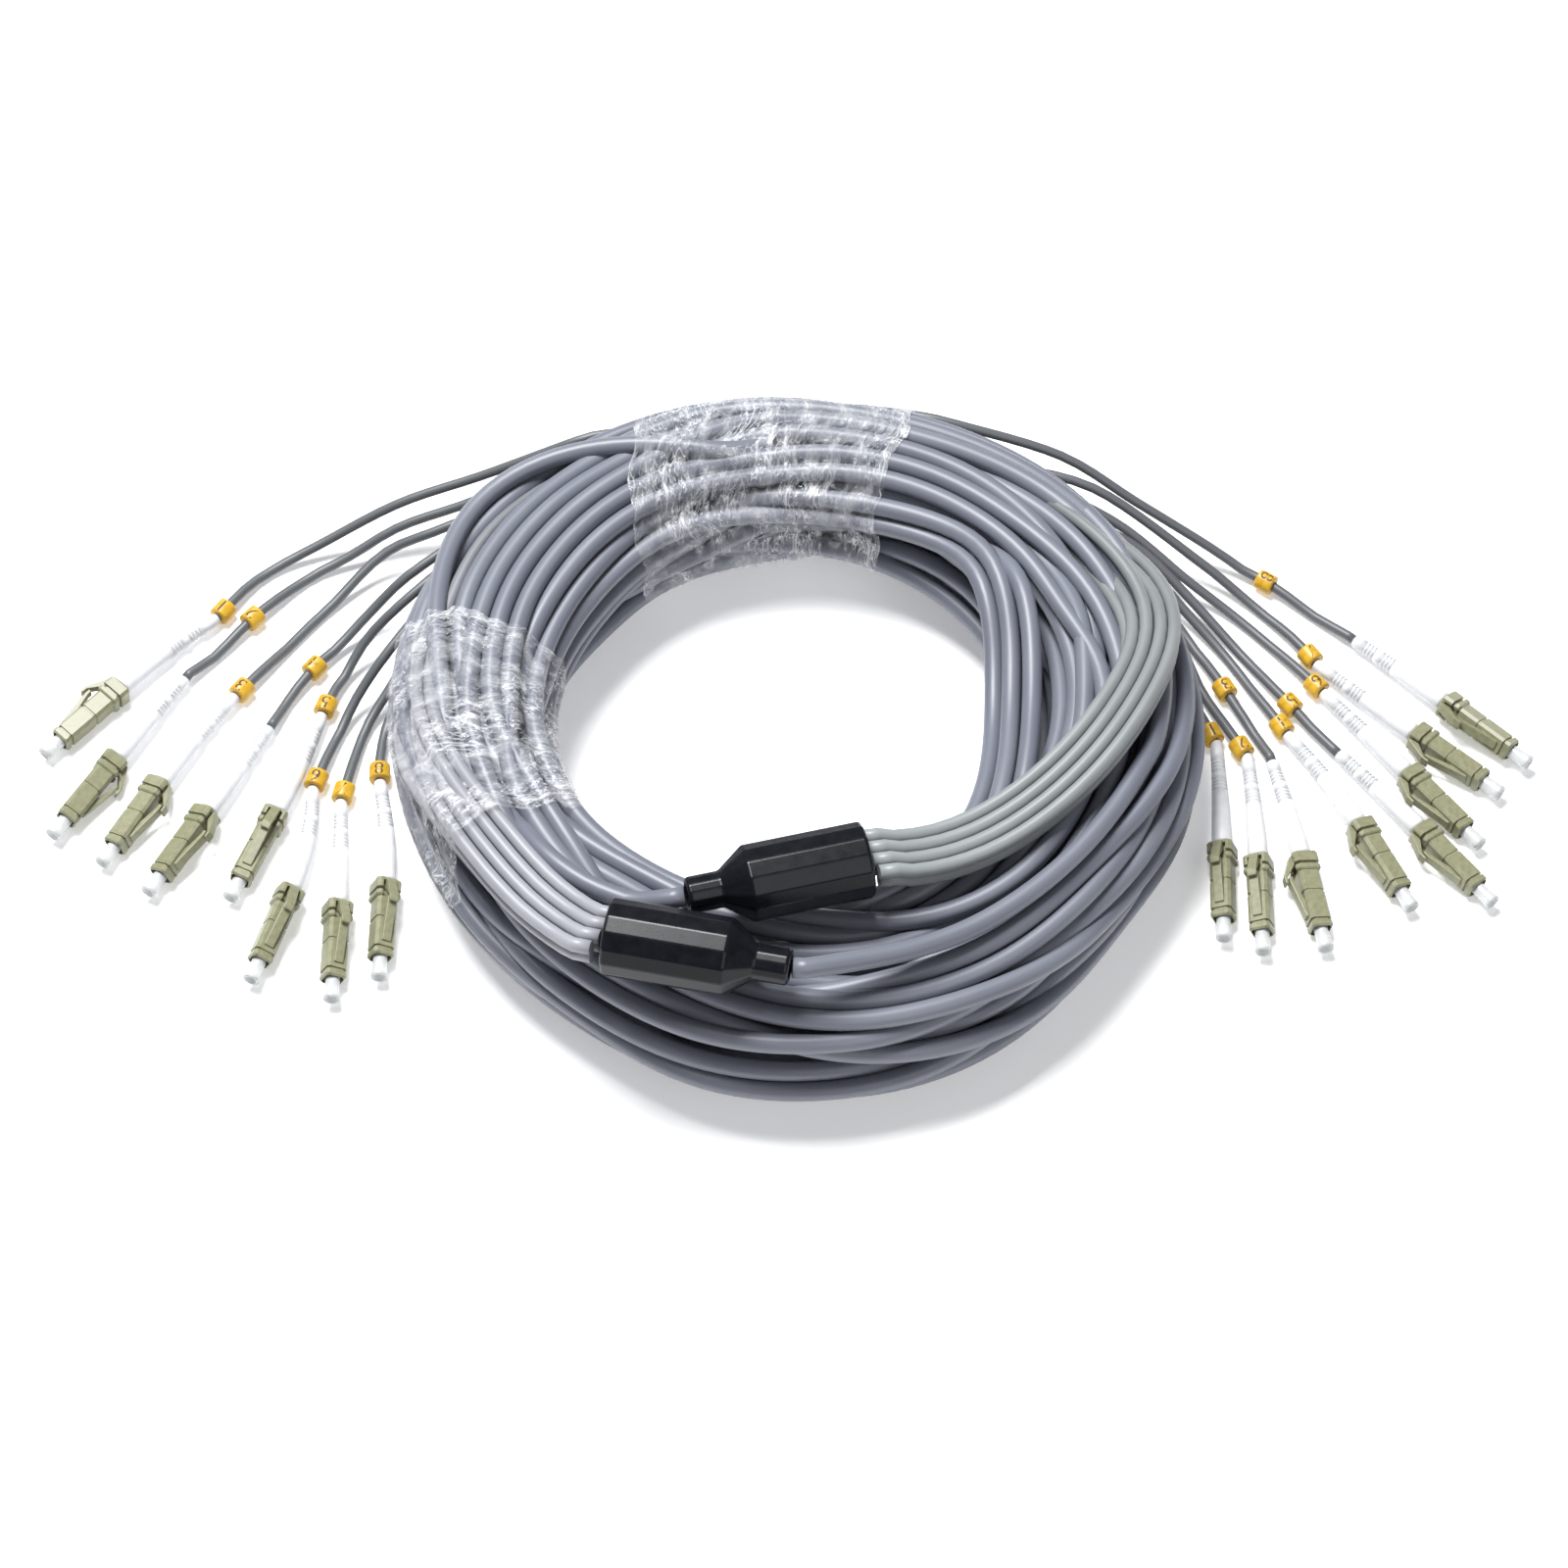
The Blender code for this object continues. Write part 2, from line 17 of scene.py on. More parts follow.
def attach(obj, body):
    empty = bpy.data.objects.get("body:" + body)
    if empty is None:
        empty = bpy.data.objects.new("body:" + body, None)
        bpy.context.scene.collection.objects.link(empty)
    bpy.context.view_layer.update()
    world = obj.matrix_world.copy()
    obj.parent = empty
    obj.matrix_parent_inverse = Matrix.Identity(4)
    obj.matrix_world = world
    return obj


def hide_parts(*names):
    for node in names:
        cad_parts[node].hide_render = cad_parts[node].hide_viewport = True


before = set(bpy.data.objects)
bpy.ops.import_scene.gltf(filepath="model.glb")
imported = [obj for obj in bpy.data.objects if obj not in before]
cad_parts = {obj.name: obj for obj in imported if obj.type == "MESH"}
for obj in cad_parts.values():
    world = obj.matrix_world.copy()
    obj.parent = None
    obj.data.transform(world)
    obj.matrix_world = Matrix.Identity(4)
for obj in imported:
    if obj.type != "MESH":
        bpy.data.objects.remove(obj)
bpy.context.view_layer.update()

MM = 0.001

# Camera of the photograph
CAMERA_AIM = Vector((-1.2, -12.5, 18.0)) * MM
CAMERA_DISTANCE = 765.0 * MM
CAMERA_ELEVATION = 56.0
CAMERA_LENS = 85.0

# Trunk cable and coil, as in the CAD model
TRUNK_DIAMETER = 4.1 * MM
COIL_RADIUS = 66.0 * MM
BUNDLE_WIDTH = 41.5 * MM
BUNDLE_HEIGHT = 36.5 * MM
FLAT_UNDERSIDE = 0.8 * MM
SECTION_POWER = 2.4
# How the bundle changes round the ring: angle, extra width, extra height, shift of its middle
# outwards, lift off the floor (degrees, mm)
BUNDLE = (
    (0.0, 0.0, 0.0, 0.0, 0.0),
    (45.0, -5.0, 0.5, 1.7, 0.0),
    (67.5, -7.4, 0.0, 0.9, 1.2),
    (120.0, -6.8, 0.0, 1.4, 1.2),
    (142.5, -3.8, 0.5, 1.1, 0.0),
    (165.0, -5.8, 0.0, 1.1, 1.2),
    (210.0, -8.2, -1.0, -2.4, 1.2),
    (235.0, -6.4, -2.6, -4.9, 0.0),
    (262.0, 0.8, -3.7, -3.1, 0.0),
    (297.0, 1.0, -3.7, -3.1, 0.0),
    (328.0, -2.0, -2.0, -5.2, 0.0),
    (348.0, 0.0, 0.0, -0.6, 0.0),
)

# The winding: how many turns and stations round the ring, where the first station is, and how the
# turns settle against each other
TURNS = 48
STATIONS = 72
FIRST_ANGLE = 270.0
STATION_STEP = 360.0 / STATIONS
WANDER = 4.2 * MM
WANDER_SPAN = 8
TWIST = 22.0
TWIST_ANGLE = 270.0
SETTLE_STEPS = 220
HOME_PULL = 0.012
SMOOTHING = 0.3
PUSH = 0.7
TURN_GAP = 0.12 * MM
TRUNK_STEP = 3.2 * MM
TRUNK_SIDES = 12
# The trunk's two tails: the turn, its end, the stations that the tail takes up, those beyond, where the
# turn comes down between the others, the station that they are counted from, and how far it may stand
# out there, in diameters
TAIL_STATIONS = (
    (0, "a", (2, 10), (10, 22), 9),
    (TURNS - 1, "b", (62, 67), (48, 62), 62),
)
TAIL_REACH = 1.1
# The settled turns are evened out: the stations left off at each end, how many times all of it, and
# the stretch at tail a with its own times, first in the section and then in space
ENDS_LEFT_OFF = (3, 5)
TURN_PASSES = 4
TAIL_SPOTS = 18
TAIL_PASSES = 30
EASED_SPOTS = 14
EASED_PASSES = 10
# Turns that the photograph shows loose: the turn, then angles from the first station's on, radius and
# height (degrees, mm). The first crosses over the others at the upper left, the others bulge into the
# bore at the lower right.
LOOSE_TURNS = (
    (2, ((458.0, 58.0, 35.8), (464.0, 61.0, 36.4), (471.0, 66.5, 36.8), (478.0, 71.5, 36.0),
         (485.0, 77.5, 34.0), (491.0, 82.0, 32.2), (498.0, 84.8, 31.0), (505.0, 84.6, 30.8),
         (512.0, 81.5, 31.6), (519.0, 78.2, 32.8), (528.0, 75.8, 33.8))),
    (41, ((316.0, 57.0, 28.6), (322.0, 55.0, 29.8), (330.0, 52.8, 31.0), (338.0, 51.0, 31.6),
          (348.0, 49.6, 30.8), (360.0, 49.4, 30.4), (372.0, 50.8, 31.4), (384.0, 54.0, 33.6),
          (395.0, 57.2, 35.4))),
    (42, ((286.0, 53.0, 27.6), (296.0, 52.6, 27.6), (310.0, 51.7, 28.4), (322.0, 50.4, 29.6),
          (332.0, 48.0, 29.6), (340.0, 46.6, 28.8), (348.0, 45.4, 27.4), (360.0, 45.2, 26.6),
          (372.0, 46.6, 27.4), (384.0, 50.0, 30.2), (395.0, 53.4, 33.4), (404.0, 56.4, 35.4))),
    (43, ((286.0, 48.8, 27.4), (300.0, 48.4, 27.2), (310.0, 47.6, 27.2), (322.0, 45.8, 26.6),
          (336.0, 43.4, 25.2), (348.0, 42.0, 23.4), (360.0, 42.0, 22.4), (372.0, 43.0, 23.2),
          (384.0, 46.4, 26.4), (395.0, 49.8, 30.4), (404.0, 52.8, 33.0))),
)

CLEARANCE = 0.3 * MM
STRAIGHT_END = 1.5 * MM
FLOOR_GAP = 0.05 * MM

# Breakout housings
BREAKOUT_FACETS = 14
BREAKOUT_DIAMETER = 15.5 * MM
BREAKOUT_BODY = 24.2 * MM
BREAKOUT_CONE = 5.4 * MM
BREAKOUT_NECK_DIAMETER = 7.5 * MM
BREAKOUT_NECK = 6.8 * MM
BREAKOUT_TOTAL = BREAKOUT_BODY + BREAKOUT_CONE + BREAKOUT_NECK
BREAKOUT_RIM = 0.5 * MM
# Their axes, the trunk's ends and the leg bundles in plan (degrees, mm outwards from the coil's
# middle circle)
BREAKOUTS = {
    "a": ((240.5, 6.3), (270.25, 4.1)),
    "b": ((288.6, -18.3), (249.3, -8.5)),
}
TRUNK_TAILS = {
    "a": ((277.6, 5.4), (285.8, 3.6), (296.6, 1.1), (308.5, -0.2), (319.6, -0.4)),
    "b": ((242.7, -6.1), (235.8, -3.8), (227.3, -2.6), (219.6, -1.7), (213.2, -0.9)),
}
LEG_BUNDLES = {
    "a": ((232.6, 6.4), (225.0, 5.6), (218.4, 5.2), (212.8, 5.0)),
    "b": ((301.5, -16.3), (315.8, -13.0), (330.2, -8.4), (343.0, -3.2), (353.2, 1.5), (0.8, 5.0)),
}

# How the legs go on from their bundles, on the coil's shoulder, before they sink between the turns
LEG_SHOULDERS = {
    "a": ((205.0, 6.0), (196.0, 8.2), (188.0, 10.8)),
    "b": ((10.5, 13.0), (18.5, 16.5)),
}

# Legs, marker sleeves, boots, connectors and caps
LEG_DIAMETER = 2.2 * MM
LEG_BUNDLE_DIAMETER = 6.2 * MM
# A leg is thicker near its housing and thins down over these stations of the coil
LEG_START_DIAMETER = 2.9 * MM
LEG_THINS = (18, 24)
LEG_PITCH = 3.0 * MM
LEG_SIDES = 10
# The step of its route, in diameters
LEG_STEP = 1.8
LEG_PASSES = 5
# In the coil: how deep a leg runs under the outline and how soon it gets there, how it wanders (in
# diameters and stations), how far it may stand out where it goes in (in diameters, over some
# stations) and where it comes out, and how far from its exit its last station is, in stations
LEG_DEPTH = 7.0 * MM
LEG_DEPTH_POWER = 0.45
LEG_WANDER = 0.5
LEG_WANDER_SPAN = 5
LEG_REACH = 2.2
LEG_REACH_STATIONS = 6
LEG_LAST_REACH = (0.6, 1.6)
LEG_STANDS_OUT = 0.2 * MM
LEG_MARGIN = 0.6
# How far the legs sink between the turns for each degree past their bundle's end
LEG_SINK = {"a": 0.22 * MM, "b": 0.0}
MARKER_DIAMETER = 4.5 * MM
MARKER_LENGTH = 3.9 * MM
MARKER_LIFT_SPAN = 14.0 * MM
MARKER_NEAR = 5.0 * MM
MARKER_HEIGHT = 2.5 * MM
BLOCK_SIDE = 5.4 * MM
BLOCK_LENGTH = 4.6 * MM
BODY_SIDE = 4.5 * MM
BODY_LENGTH = 13.8 * MM
CORNER_CUT = 0.6 * MM
BOOT_LENGTH = 24.4 * MM
BOOT_DIAMETER = 4.3 * MM
BOOT_TIP_DIAMETER = 2.9 * MM
BOOT_BENDS = 5
BOOT_SIDES = 16
# Cuts in the boot: the first of each group, how many and how far apart, half their width at the bottom
# and at the top, as shares of its length, and their depth
BOOT_CUTS = (0.12, 0.32)
BOOT_CUT_COUNT = 4
BOOT_CUT_PITCH = 0.036
BOOT_CUT_HALF = (0.008, 0.011)
BOOT_CUT_DEPTH = 0.85 * MM
BOOT_STOPS = (0.55, 0.7, 0.85, 0.97, 1.0)
LATCH_WIDTH = 2.0 * MM
TRIGGER_WIDTH = 2.0 * MM
SLOT_HALF = 1.55 * MM
LATCH_THICKNESS = 0.8 * MM
LATCH_RISE = 2.0 * MM
TRIGGER_RISE = 1.0 * MM
RECESS_DEPTH = 3.0 * MM
CAP_DIAMETER = 3.0 * MM
CAP_TIP_DIAMETER = 3.5 * MM
CAP_LENGTH = 4.6 * MM

# Each leg: where it leaves the coil (degrees, height), its route (outwards from the coil's middle
# circle to the left or right, y, height), the distance from marker to boot, then the connector's
# rear end, its heading, the boot's heading and the roll of the latch (mm, degrees)
LEGS = {
    "left_1": ((123.0, 27.0),
        ((1.1, 69.9, 17.0), (19.9, 66.6, 11.2), (37.0, 61.2, 4.0), (50.0, 54.0, 1.2)),
        4.2, (77.7, 22.7), 229.7, 225.4, 80.0),
    "left_2": ((125.5, 21.5),
        ((3.0, 66.2, 12.8), (19.7, 62.8, 7.8), (31.5, 58.0, 2.8), (40.0, 53.4, 1.2),
         (49.6, 43.4, 1.2), (57.4, 33.6, 1.2)),
        21.0, (76.9, 4.2), 239.9, 239.5, -115.0),
    "left_3": ((129.5, 15.0),
        ((11.0, 59.6, 10.6), (23.3, 56.4, 6.0), (35.0, 45.0, 1.2), (44.4, 32.8, 1.2)),
        4.0, (66.9, -2.0), 242.8, 239.0, -80.0),
    "left_4": ((139.0, 16.0),
        ((15.8, 46.5, 12.5), (24.8, 41.0, 6.0), (34.6, 31.0, 1.2), (41.4, 21.0, 1.2)),
        18.0, (56.3, -9.5), 242.1, 243.2, -66.0),
    "left_5": ((147.0, 15.0),
        ((17.9, 38.2, 12.0), (25.6, 33.0, 6.0), (31.3, 24.0, 1.2)),
        4.0, (41.9, -9.5), 249.5, 252.9, -12.0),
    "left_6": ((154.0, 13.0),
        ((20.2, 27.0, 10.0), (26.8, 19.0, 4.4), (30.8, 10.3, 1.2)),
        3.6, (37.4, -29.0), 253.2, 263.7, -30.0),
    "left_7": ((158.5, 9.5),
        ((19.6, 21.6, 4.8), (24.9, 12.2, 1.5)),
        3.6, (27.5, -32.6), 270.6, 272.5, -30.0),
    "left_8": ((162.0, 6.0),
        ((19.2, 16.2, 3.0), (21.0, 7.4, 1.2)),
        3.6, (17.9, -27.4), 270.0, 276.1, -30.0),
    "right_1": ((24.0, 6.0),
        ((16.8, 27.5, 3.6), (20.8, 19.4, 1.4)),
        4.2, (24.4, -18.1), 267.2, 268.6, 25.0),
    "right_2": ((30.0, 8.0),
        ((16.2, 38.2, 5.0), (20.2, 30.4, 2.2), (23.4, 21.6, 1.2)),
        4.0, (31.7, -21.3), 268.5, 270.7, 25.0),
    "right_3": ((35.0, 10.0),
        ((13.9, 44.4, 5.6), (19.4, 38.0, 2.4), (24.4, 29.3, 1.2), (28.8, 20.3, 1.2),
         (33.4, 11.5, 1.2)),
        21.0, (40.8, -20.6), 278.2, 280.1, 80.0),
    "right_4": ((39.0, 12.5),
        ((13.0, 48.8, 8.4), (20.6, 41.8, 4.0), (28.8, 31.8, 1.2), (35.0, 20.5, 1.2)),
        4.2, (53.3, -12.5), 294.0, 299.0, 75.0),
    "right_5": ((44.0, 15.0),
        ((11.2, 54.0, 10.0), (22.5, 43.9, 4.4), (31.6, 33.2, 1.2), (39.4, 21.4, 1.2)),
        15.7, (65.9, -13.7), 306.5, 307.8, 80.0),
    "right_6": ((49.0, 17.0),
        ((6.7, 59.7, 11.8), (20.6, 50.2, 5.4), (30.2, 43.6, 1.8), (38.7, 34.8, 1.2)),
        4.0, (64.7, 0.5), 306.9, 306.9, 80.0),
    "right_7": ((55.0, 18.5),
        ((1.5, 66.0, 16.5), (23.2, 54.8, 6.4), (34.8, 46.4, 1.6), (42.6, 37.6, 1.2)),
        4.4, (67.2, 10.6), 317.5, 316.0, 80.0),
    "right_8": ((64.0, 27.0),
        ((-6.6, 71.9, 21.2), (10.0, 65.3, 13.4), (26.7, 58.6, 5.6), (37.6, 52.3, 1.4),
         (47.3, 44.2, 1.2)),
        24.0, (74.4, 18.6), 315.7, 315.9, 60.0),
}
# The left fan comes from housing b round the right side, the right fan from housing a
HOUSING_OF = {"left": "b", "right": "a"}

# Clear film: node, then the first and the last angle on the coil's outer side and on its inner side
FILM_WRAPS = (
    ("film_wrap_back", (71.0, 112.0), (68.5, 129.0)),
    ("film_wrap_left", (166.5, 211.5), (163.5, 209.5)),
)
FILM_SIDES = 240
FILM_STEP = 1.5
FILM_ROWS = 72
FILM_OFF = 0.3 * MM
FILM_DIP = 0.6
FILM_DEEPEST = 1.1 * MM
# The film's wavy edges: size in degrees, waves round the bundle, start
FILM_EDGE_WAVES = ((0.8, 3, 1.0), (0.5, 8, 0.0))
# Its creases: height, how close they lie along and round the bundle, how narrow, how much is taken off
CRINKLE = 0.4 * MM
CREASES_ALONG = 0.9
CREASES_AROUND = 2.2
CREASE_SCALE = 1.3
CREASE_SHARPNESS = 2.4
CREASE_BASE = 0.3
# Its haze and the patches that creases keep to: texture scale, squeeze, turn and detail, then the
# values cut off and what they become
FILM_HAZE = ((300.0, 0.5, 0.2, 6.0), (0.42, 0.68, 0.02, 0.3))
FILM_PATCHES = ((75.0, 0.6, 0.0, 2.0), (0.42, 0.6, 0.2, 1.0))
# Its white lines: texture scale, squeeze, turn, width and strength
FILM_LINES = (
    (520.0, 0.3, 0.2, 0.035, 0.5),
    (850.0, 0.4, -0.5, 0.05, 0.4),
    (240.0, 0.2, 0.1, 0.016, 0.6),
)

# Floor and light: name, place, size and power of each lamp
FLOOR_HALF = 3.0
FLOOR_GLOW = 0.3
WORLD_COLOUR = (0.93, 0.96, 1.0, 1.0)
WORLD_STRENGTH = 0.14
LAMPS = (
    ("key", (-0.28, 0.36, 1.14), 0.5, 28.0),
    ("fill", (0.5, -0.9, 0.9), 0.9, 4.5),
)


def ease(share):
    return share * share * (3.0 - 2.0 * share)


def bundle_at(angle):
    """Width, height, middle radius and lift of the wound bundle at an angle in degrees."""
    angle %= 360.0
    plain = (BUNDLE_WIDTH, BUNDLE_HEIGHT, COIL_RADIUS, 0.0)
    rows = BUNDLE + ((360.0,) + BUNDLE[0][1:],)
    for low, high in zip(rows, rows[1:]):
        if low[0] <= angle <= high[0]:
            share = ease((angle - low[0]) / (high[0] - low[0]))
            changes = [a + (b - a) * share for a, b in zip(low[1:], high[1:])]
            return [size + change * MM for size, change in zip(plain, changes)]
    raise ValueError(angle)


def section_frame(angle):
    """Middle (radius, height) and half sizes of the bundle's section."""
    width, height, middle, lift = bundle_at(angle)
    return np.array((middle, lift + height / 2 - FLAT_UNDERSIDE)), np.array((width, height)) / 2


def coil_top(angle, outward):
    """Height of the coil's upper surface, some mm outside its middle circle."""
    (middle, axis_height), (half_width, half_height) = section_frame(angle)
    across = (COIL_RADIUS + outward * MM - middle) / half_width
    return axis_height + half_height * max(0.0, 1.0 - abs(across) ** SECTION_POWER) ** (1 / SECTION_POWER)


def polar(angle, radius, z):
    turn = math.radians(angle)
    return Vector((radius * math.cos(turn), radius * math.sin(turn), z))


def on_ring(angle, outward, z):
    return polar(angle, COIL_RADIUS + outward * MM, z)


def in_fan(key, outward, y, z):
    """A point of the left or the right fan."""
    side = -1.0 if key.startswith("left") else 1.0
    return Vector((side * (COIL_RADIUS + outward * MM), y * MM, z))


def smooth_route(points, step):
    """Points about a step apart on a smooth curve through the given ones."""
    ends = [points[0] * 2 - points[1]] + list(points) + [points[-1] * 2 - points[-2]]
    fine = []
    for before, start, end, after in zip(ends, ends[1:], ends[2:], ends[3:]):
        pieces = max(1, round((end - start).length / (step / 4)))
        for i in range(pieces):
            t = i / pieces
            fine.append(0.5 * (2 * start + (end - before) * t
                               + (2 * before - 5 * start + 4 * end - after) * t ** 2
                               + (3 * start - before - 3 * end + after) * t ** 3))
    fine.append(points[-1])
    route = fine[::4]
    if (fine[-1] - route[-1]).length < step / 2:
        route.pop()
    return route + [fine[-1]]


def route_length(route):
    return sum((b - a).length for a, b in zip(route, route[1:]))


def add_object(name, data):
    made = bpy.data.objects.new(name, data)
    bpy.context.scene.collection.objects.link(made)
    return made


def node_tree(name):
    made = bpy.data.materials.new(name)
    made.use_nodes = True
    return made, made.node_tree.nodes, made.node_tree.links


def noise_texture(nodes, links, place, scale, detail, distortion=0.0):
    texture = nodes.new("ShaderNodeTexNoise")
    texture.inputs["Scale"].default_value = scale
    texture.inputs["Detail"].default_value = detail
    texture.inputs["Distortion"].default_value = distortion
    links.new(place, texture.inputs["Vector"])
    return texture.outputs["Fac"]


def map_range(nodes, links, value, *limits):
    """A value between the first two limits becomes one between the last two."""
    change = nodes.new("ShaderNodeMapRange")
    for label, limit in zip(("From Min", "From Max", "To Min", "To Max"), limits):
        change.inputs[label].default_value = limit
    links.new(value, change.inputs["Value"])
    return change.outputs["Result"]


def add_bump(nodes, links, height, strength, distance):
    relief = nodes.new("ShaderNodeBump")
    relief.inputs["Strength"].default_value = strength
    relief.inputs["Distance"].default_value = distance
    links.new(height, relief.inputs["Height"])
    links.new(relief.outputs["Normal"], nodes["Principled BSDF"].inputs["Normal"])


def moulded(name, colour, shade, roughness, mottle=400.0, grain=2500.0, bump=0.05, along=1.0, **inputs):
    """A plastic with slight mottling in colour and gloss and a fine grain, stretched along a cord."""
    made, nodes, links = node_tree(name)
    shader = nodes["Principled BSDF"]
    for socket, value in inputs.items():
        shader.inputs[socket.replace("_", " ")].default_value = value
    spot = nodes.new("ShaderNodeTexCoord")
    stretch = nodes.new("ShaderNodeMapping")
    stretch.inputs["Scale"].default_value = (1.0 / along, 1.0, 1.0)
    links.new(spot.outputs["UV" if along != 1.0 else "Object"], stretch.inputs["Vector"])
    broad = noise_texture(nodes, links, stretch.outputs["Vector"], mottle, 3.0)
    fine = noise_texture(nodes, links, stretch.outputs["Vector"], grain, 2.0)
    blend = nodes.new("ShaderNodeMix")
    blend.data_type = "RGBA"
    blend.inputs["A"].default_value = (*shade, 1.0)
    blend.inputs["B"].default_value = (*colour, 1.0)
    links.new(map_range(nodes, links, broad, 0.3, 0.6, 0.0, 1.0), blend.inputs["Factor"])
    links.new(blend.outputs["Result"], shader.inputs["Base Color"])
    gloss = map_range(nodes, links, broad, 0.0, 1.0, roughness * 0.85, roughness * 1.2)
    links.new(gloss, shader.inputs["Roughness"])
    add_bump(nodes, links, fine, bump, 0.1 * MM)
    return made


def leg_material(name, light, dark, change_from, change_to):
    """A cord jacket that is light near the housing and dark in the fan, by its length in metres."""
    made = moulded(name, light, [c * 0.86 for c in light], 0.42, mottle=300.0, grain=2500.0,
                   bump=0.08, along=5.0)
    nodes, links = made.node_tree.nodes, made.node_tree.links
    shader = nodes["Principled BSDF"]
    plain = shader.inputs["Base Color"].links[0].from_socket
    spot = nodes.new("ShaderNodeTexCoord")
    apart = nodes.new("ShaderNodeSeparateXYZ")
    links.new(spot.outputs["UV"], apart.inputs["Vector"])
    change = map_range(nodes, links, apart.outputs["X"], change_from, change_to, 0.0, 1.0)
    blend = nodes.new("ShaderNodeMix")
    blend.data_type = "RGBA"
    links.new(plain, blend.inputs["A"])
    blend.inputs["B"].default_value = (*dark, 1.0)
    links.new(change, blend.inputs["Factor"])
    links.new(blend.outputs["Result"], shader.inputs["Base Color"])
    return made


def film_material():
    """Clear stretch film: a faint haze with thin white creases, glossy all over."""
    made, nodes, links = node_tree("clear_film")
    shader = nodes["Principled BSDF"]
    shader.inputs["Base Color"].default_value = (0.93, 0.95, 0.98, 1.0)
    shader.inputs["Specular IOR Level"].default_value = 0.8
    spot = nodes.new("ShaderNodeTexCoord")

    def layer(scale, squeeze, turn, detail):
        stretch = nodes.new("ShaderNodeMapping")
        stretch.inputs["Scale"].default_value = (1.0, squeeze, 1.0)
        stretch.inputs["Rotation"].default_value = (0.0, 0.0, turn)
        links.new(spot.outputs["UV"], stretch.inputs["Vector"])
        return noise_texture(nodes, links, stretch.outputs["Vector"], scale, detail, 0.5)

    def maths(operation, first, second):
        node = nodes.new("ShaderNodeMath")
        node.operation = operation
        for socket, value in zip(node.inputs, (first, second)):
            if isinstance(value, float):
                socket.default_value = value
            else:
                links.new(value, socket)
        return node.outputs["Value"]

    def crease(scale, squeeze, turn, width, strength):
        off = maths("ABSOLUTE", maths("SUBTRACT", layer(scale, squeeze, turn, 1.5), 0.5), 0.0)
        return map_range(nodes, links, off, 0.0, width, strength, 0.0)

    haze, patches = [map_range(nodes, links, layer(*texture), *limits)
                     for texture, limits in (FILM_HAZE, FILM_PATCHES)]
    lines = crease(*FILM_LINES[0])
    for line in FILM_LINES[1:]:
        lines = maths("MAXIMUM", lines, crease(*line))
    cover = maths("ADD", haze, maths("MULTIPLY", lines, patches))
    links.new(cover, shader.inputs["Alpha"])
    links.new(map_range(nodes, links, haze, 0.0, 0.4, 0.1, 0.3), shader.inputs["Roughness"])
    add_bump(nodes, links, maths("ADD", lines, haze), 0.8, 0.3 * MM)
    return made


def skin(name, rings, paint, ends=True):
    """One smooth piece through rings of equally many points, with UVs in metres along and around."""
    rings = np.asarray(rings, dtype=float)
    count, sides, _ = rings.shape
    index = np.arange(count * sides).reshape(count, sides)
    aside = np.roll(index, -1, axis=1)
    quads = np.stack([index[:-1], aside[:-1], aside[1:], index[1:]], axis=-1).reshape(-1, 4)
    faces = quads.tolist()
    if ends:
        faces += [index[0][::-1].tolist(), index[-1].tolist()]
    mesh = bpy.data.meshes.new(name)
    mesh.from_pydata(rings.reshape(-1, 3).tolist(), [], faces)
    middles = rings.mean(axis=1)
    along = np.concatenate([[0.0], np.cumsum(np.linalg.norm(np.diff(middles, axis=0), axis=1))])
    edges = np.linalg.norm(np.roll(rings[count // 2], -1, axis=0) - rings[count // 2], axis=1)
    around = np.concatenate([[0.0], np.cumsum(edges)])
    u = np.repeat(along, sides).reshape(count, sides)
    low = np.tile(around[:-1], (count, 1))
    high = np.tile(around[1:], (count, 1))
    flat = np.stack([np.stack([u[:-1], low[:-1]], -1), np.stack([u[:-1], high[:-1]], -1),
                     np.stack([u[1:], high[1:]], -1), np.stack([u[1:], low[1:]], -1)], axis=2)
    places = np.zeros((len(mesh.loops), 2))
    places[:flat.size // 2] = flat.reshape(-1, 2)
    mesh.uv_layers.new(name="UVMap").data.foreach_set("uv", places.ravel())
    shape = bmesh.new()
    shape.from_mesh(mesh)
    bmesh.ops.recalc_face_normals(shape, faces=shape.faces)
    for face in shape.faces:
        face.smooth = len(face.verts) == 4
    shape.to_mesh(mesh)
    shape.free()
    mesh.materials.append(paint)
    return add_object(name, mesh)


def cord_rings(route, radius, sides):
    """Circles across a route, carried along it without twist. The radius may be one for each point."""
    points = np.array([tuple(p) for p in route])
    radii = np.broadcast_to(radius, len(points))
    ahead = np.gradient(points, axis=0)
    ahead /= np.linalg.norm(ahead, axis=1)[:, None]
    up = np.array((0.0, 0.0, 1.0))
    turns = np.arange(sides) * math.tau / sides
    rings = []
    for point, forward, radius in zip(points, ahead, radii):
        up = up - forward * up.dot(forward)
        up /= np.linalg.norm(up)
        side = np.cross(forward, up)
        rings.append(point + radius * (np.outer(np.cos(turns), side) + np.outer(np.sin(turns), up)))
    return rings


def first_slots():
    """Where in the section the turns begin, in winding order, as points of the unit disc.

    The turns run down the outer side, then fill the middle, and come up again on the inner side.
    """
    rows = [(1.0, 85.0 - 15.5 * i) for i in range(12)]
    middle = [(0.64, -80.0 + 22.5 * i) for i in range(16)]
    core = [(0.3, 55.0 + 51.4 * i) for i in range(7)] + [(0.0, 0.0)]
    rows += middle[:8] + core + middle[8:]
    rows += [(1.0, 260.0 - 15.0 * i) for i in range(12)]
    rows.append(rows[-1])
    turns = np.radians([turn for _, turn in rows])
    levels = np.array([level for level, _ in rows])
    return np.stack([levels * np.cos(turns), levels * np.sin(turns)], axis=1)


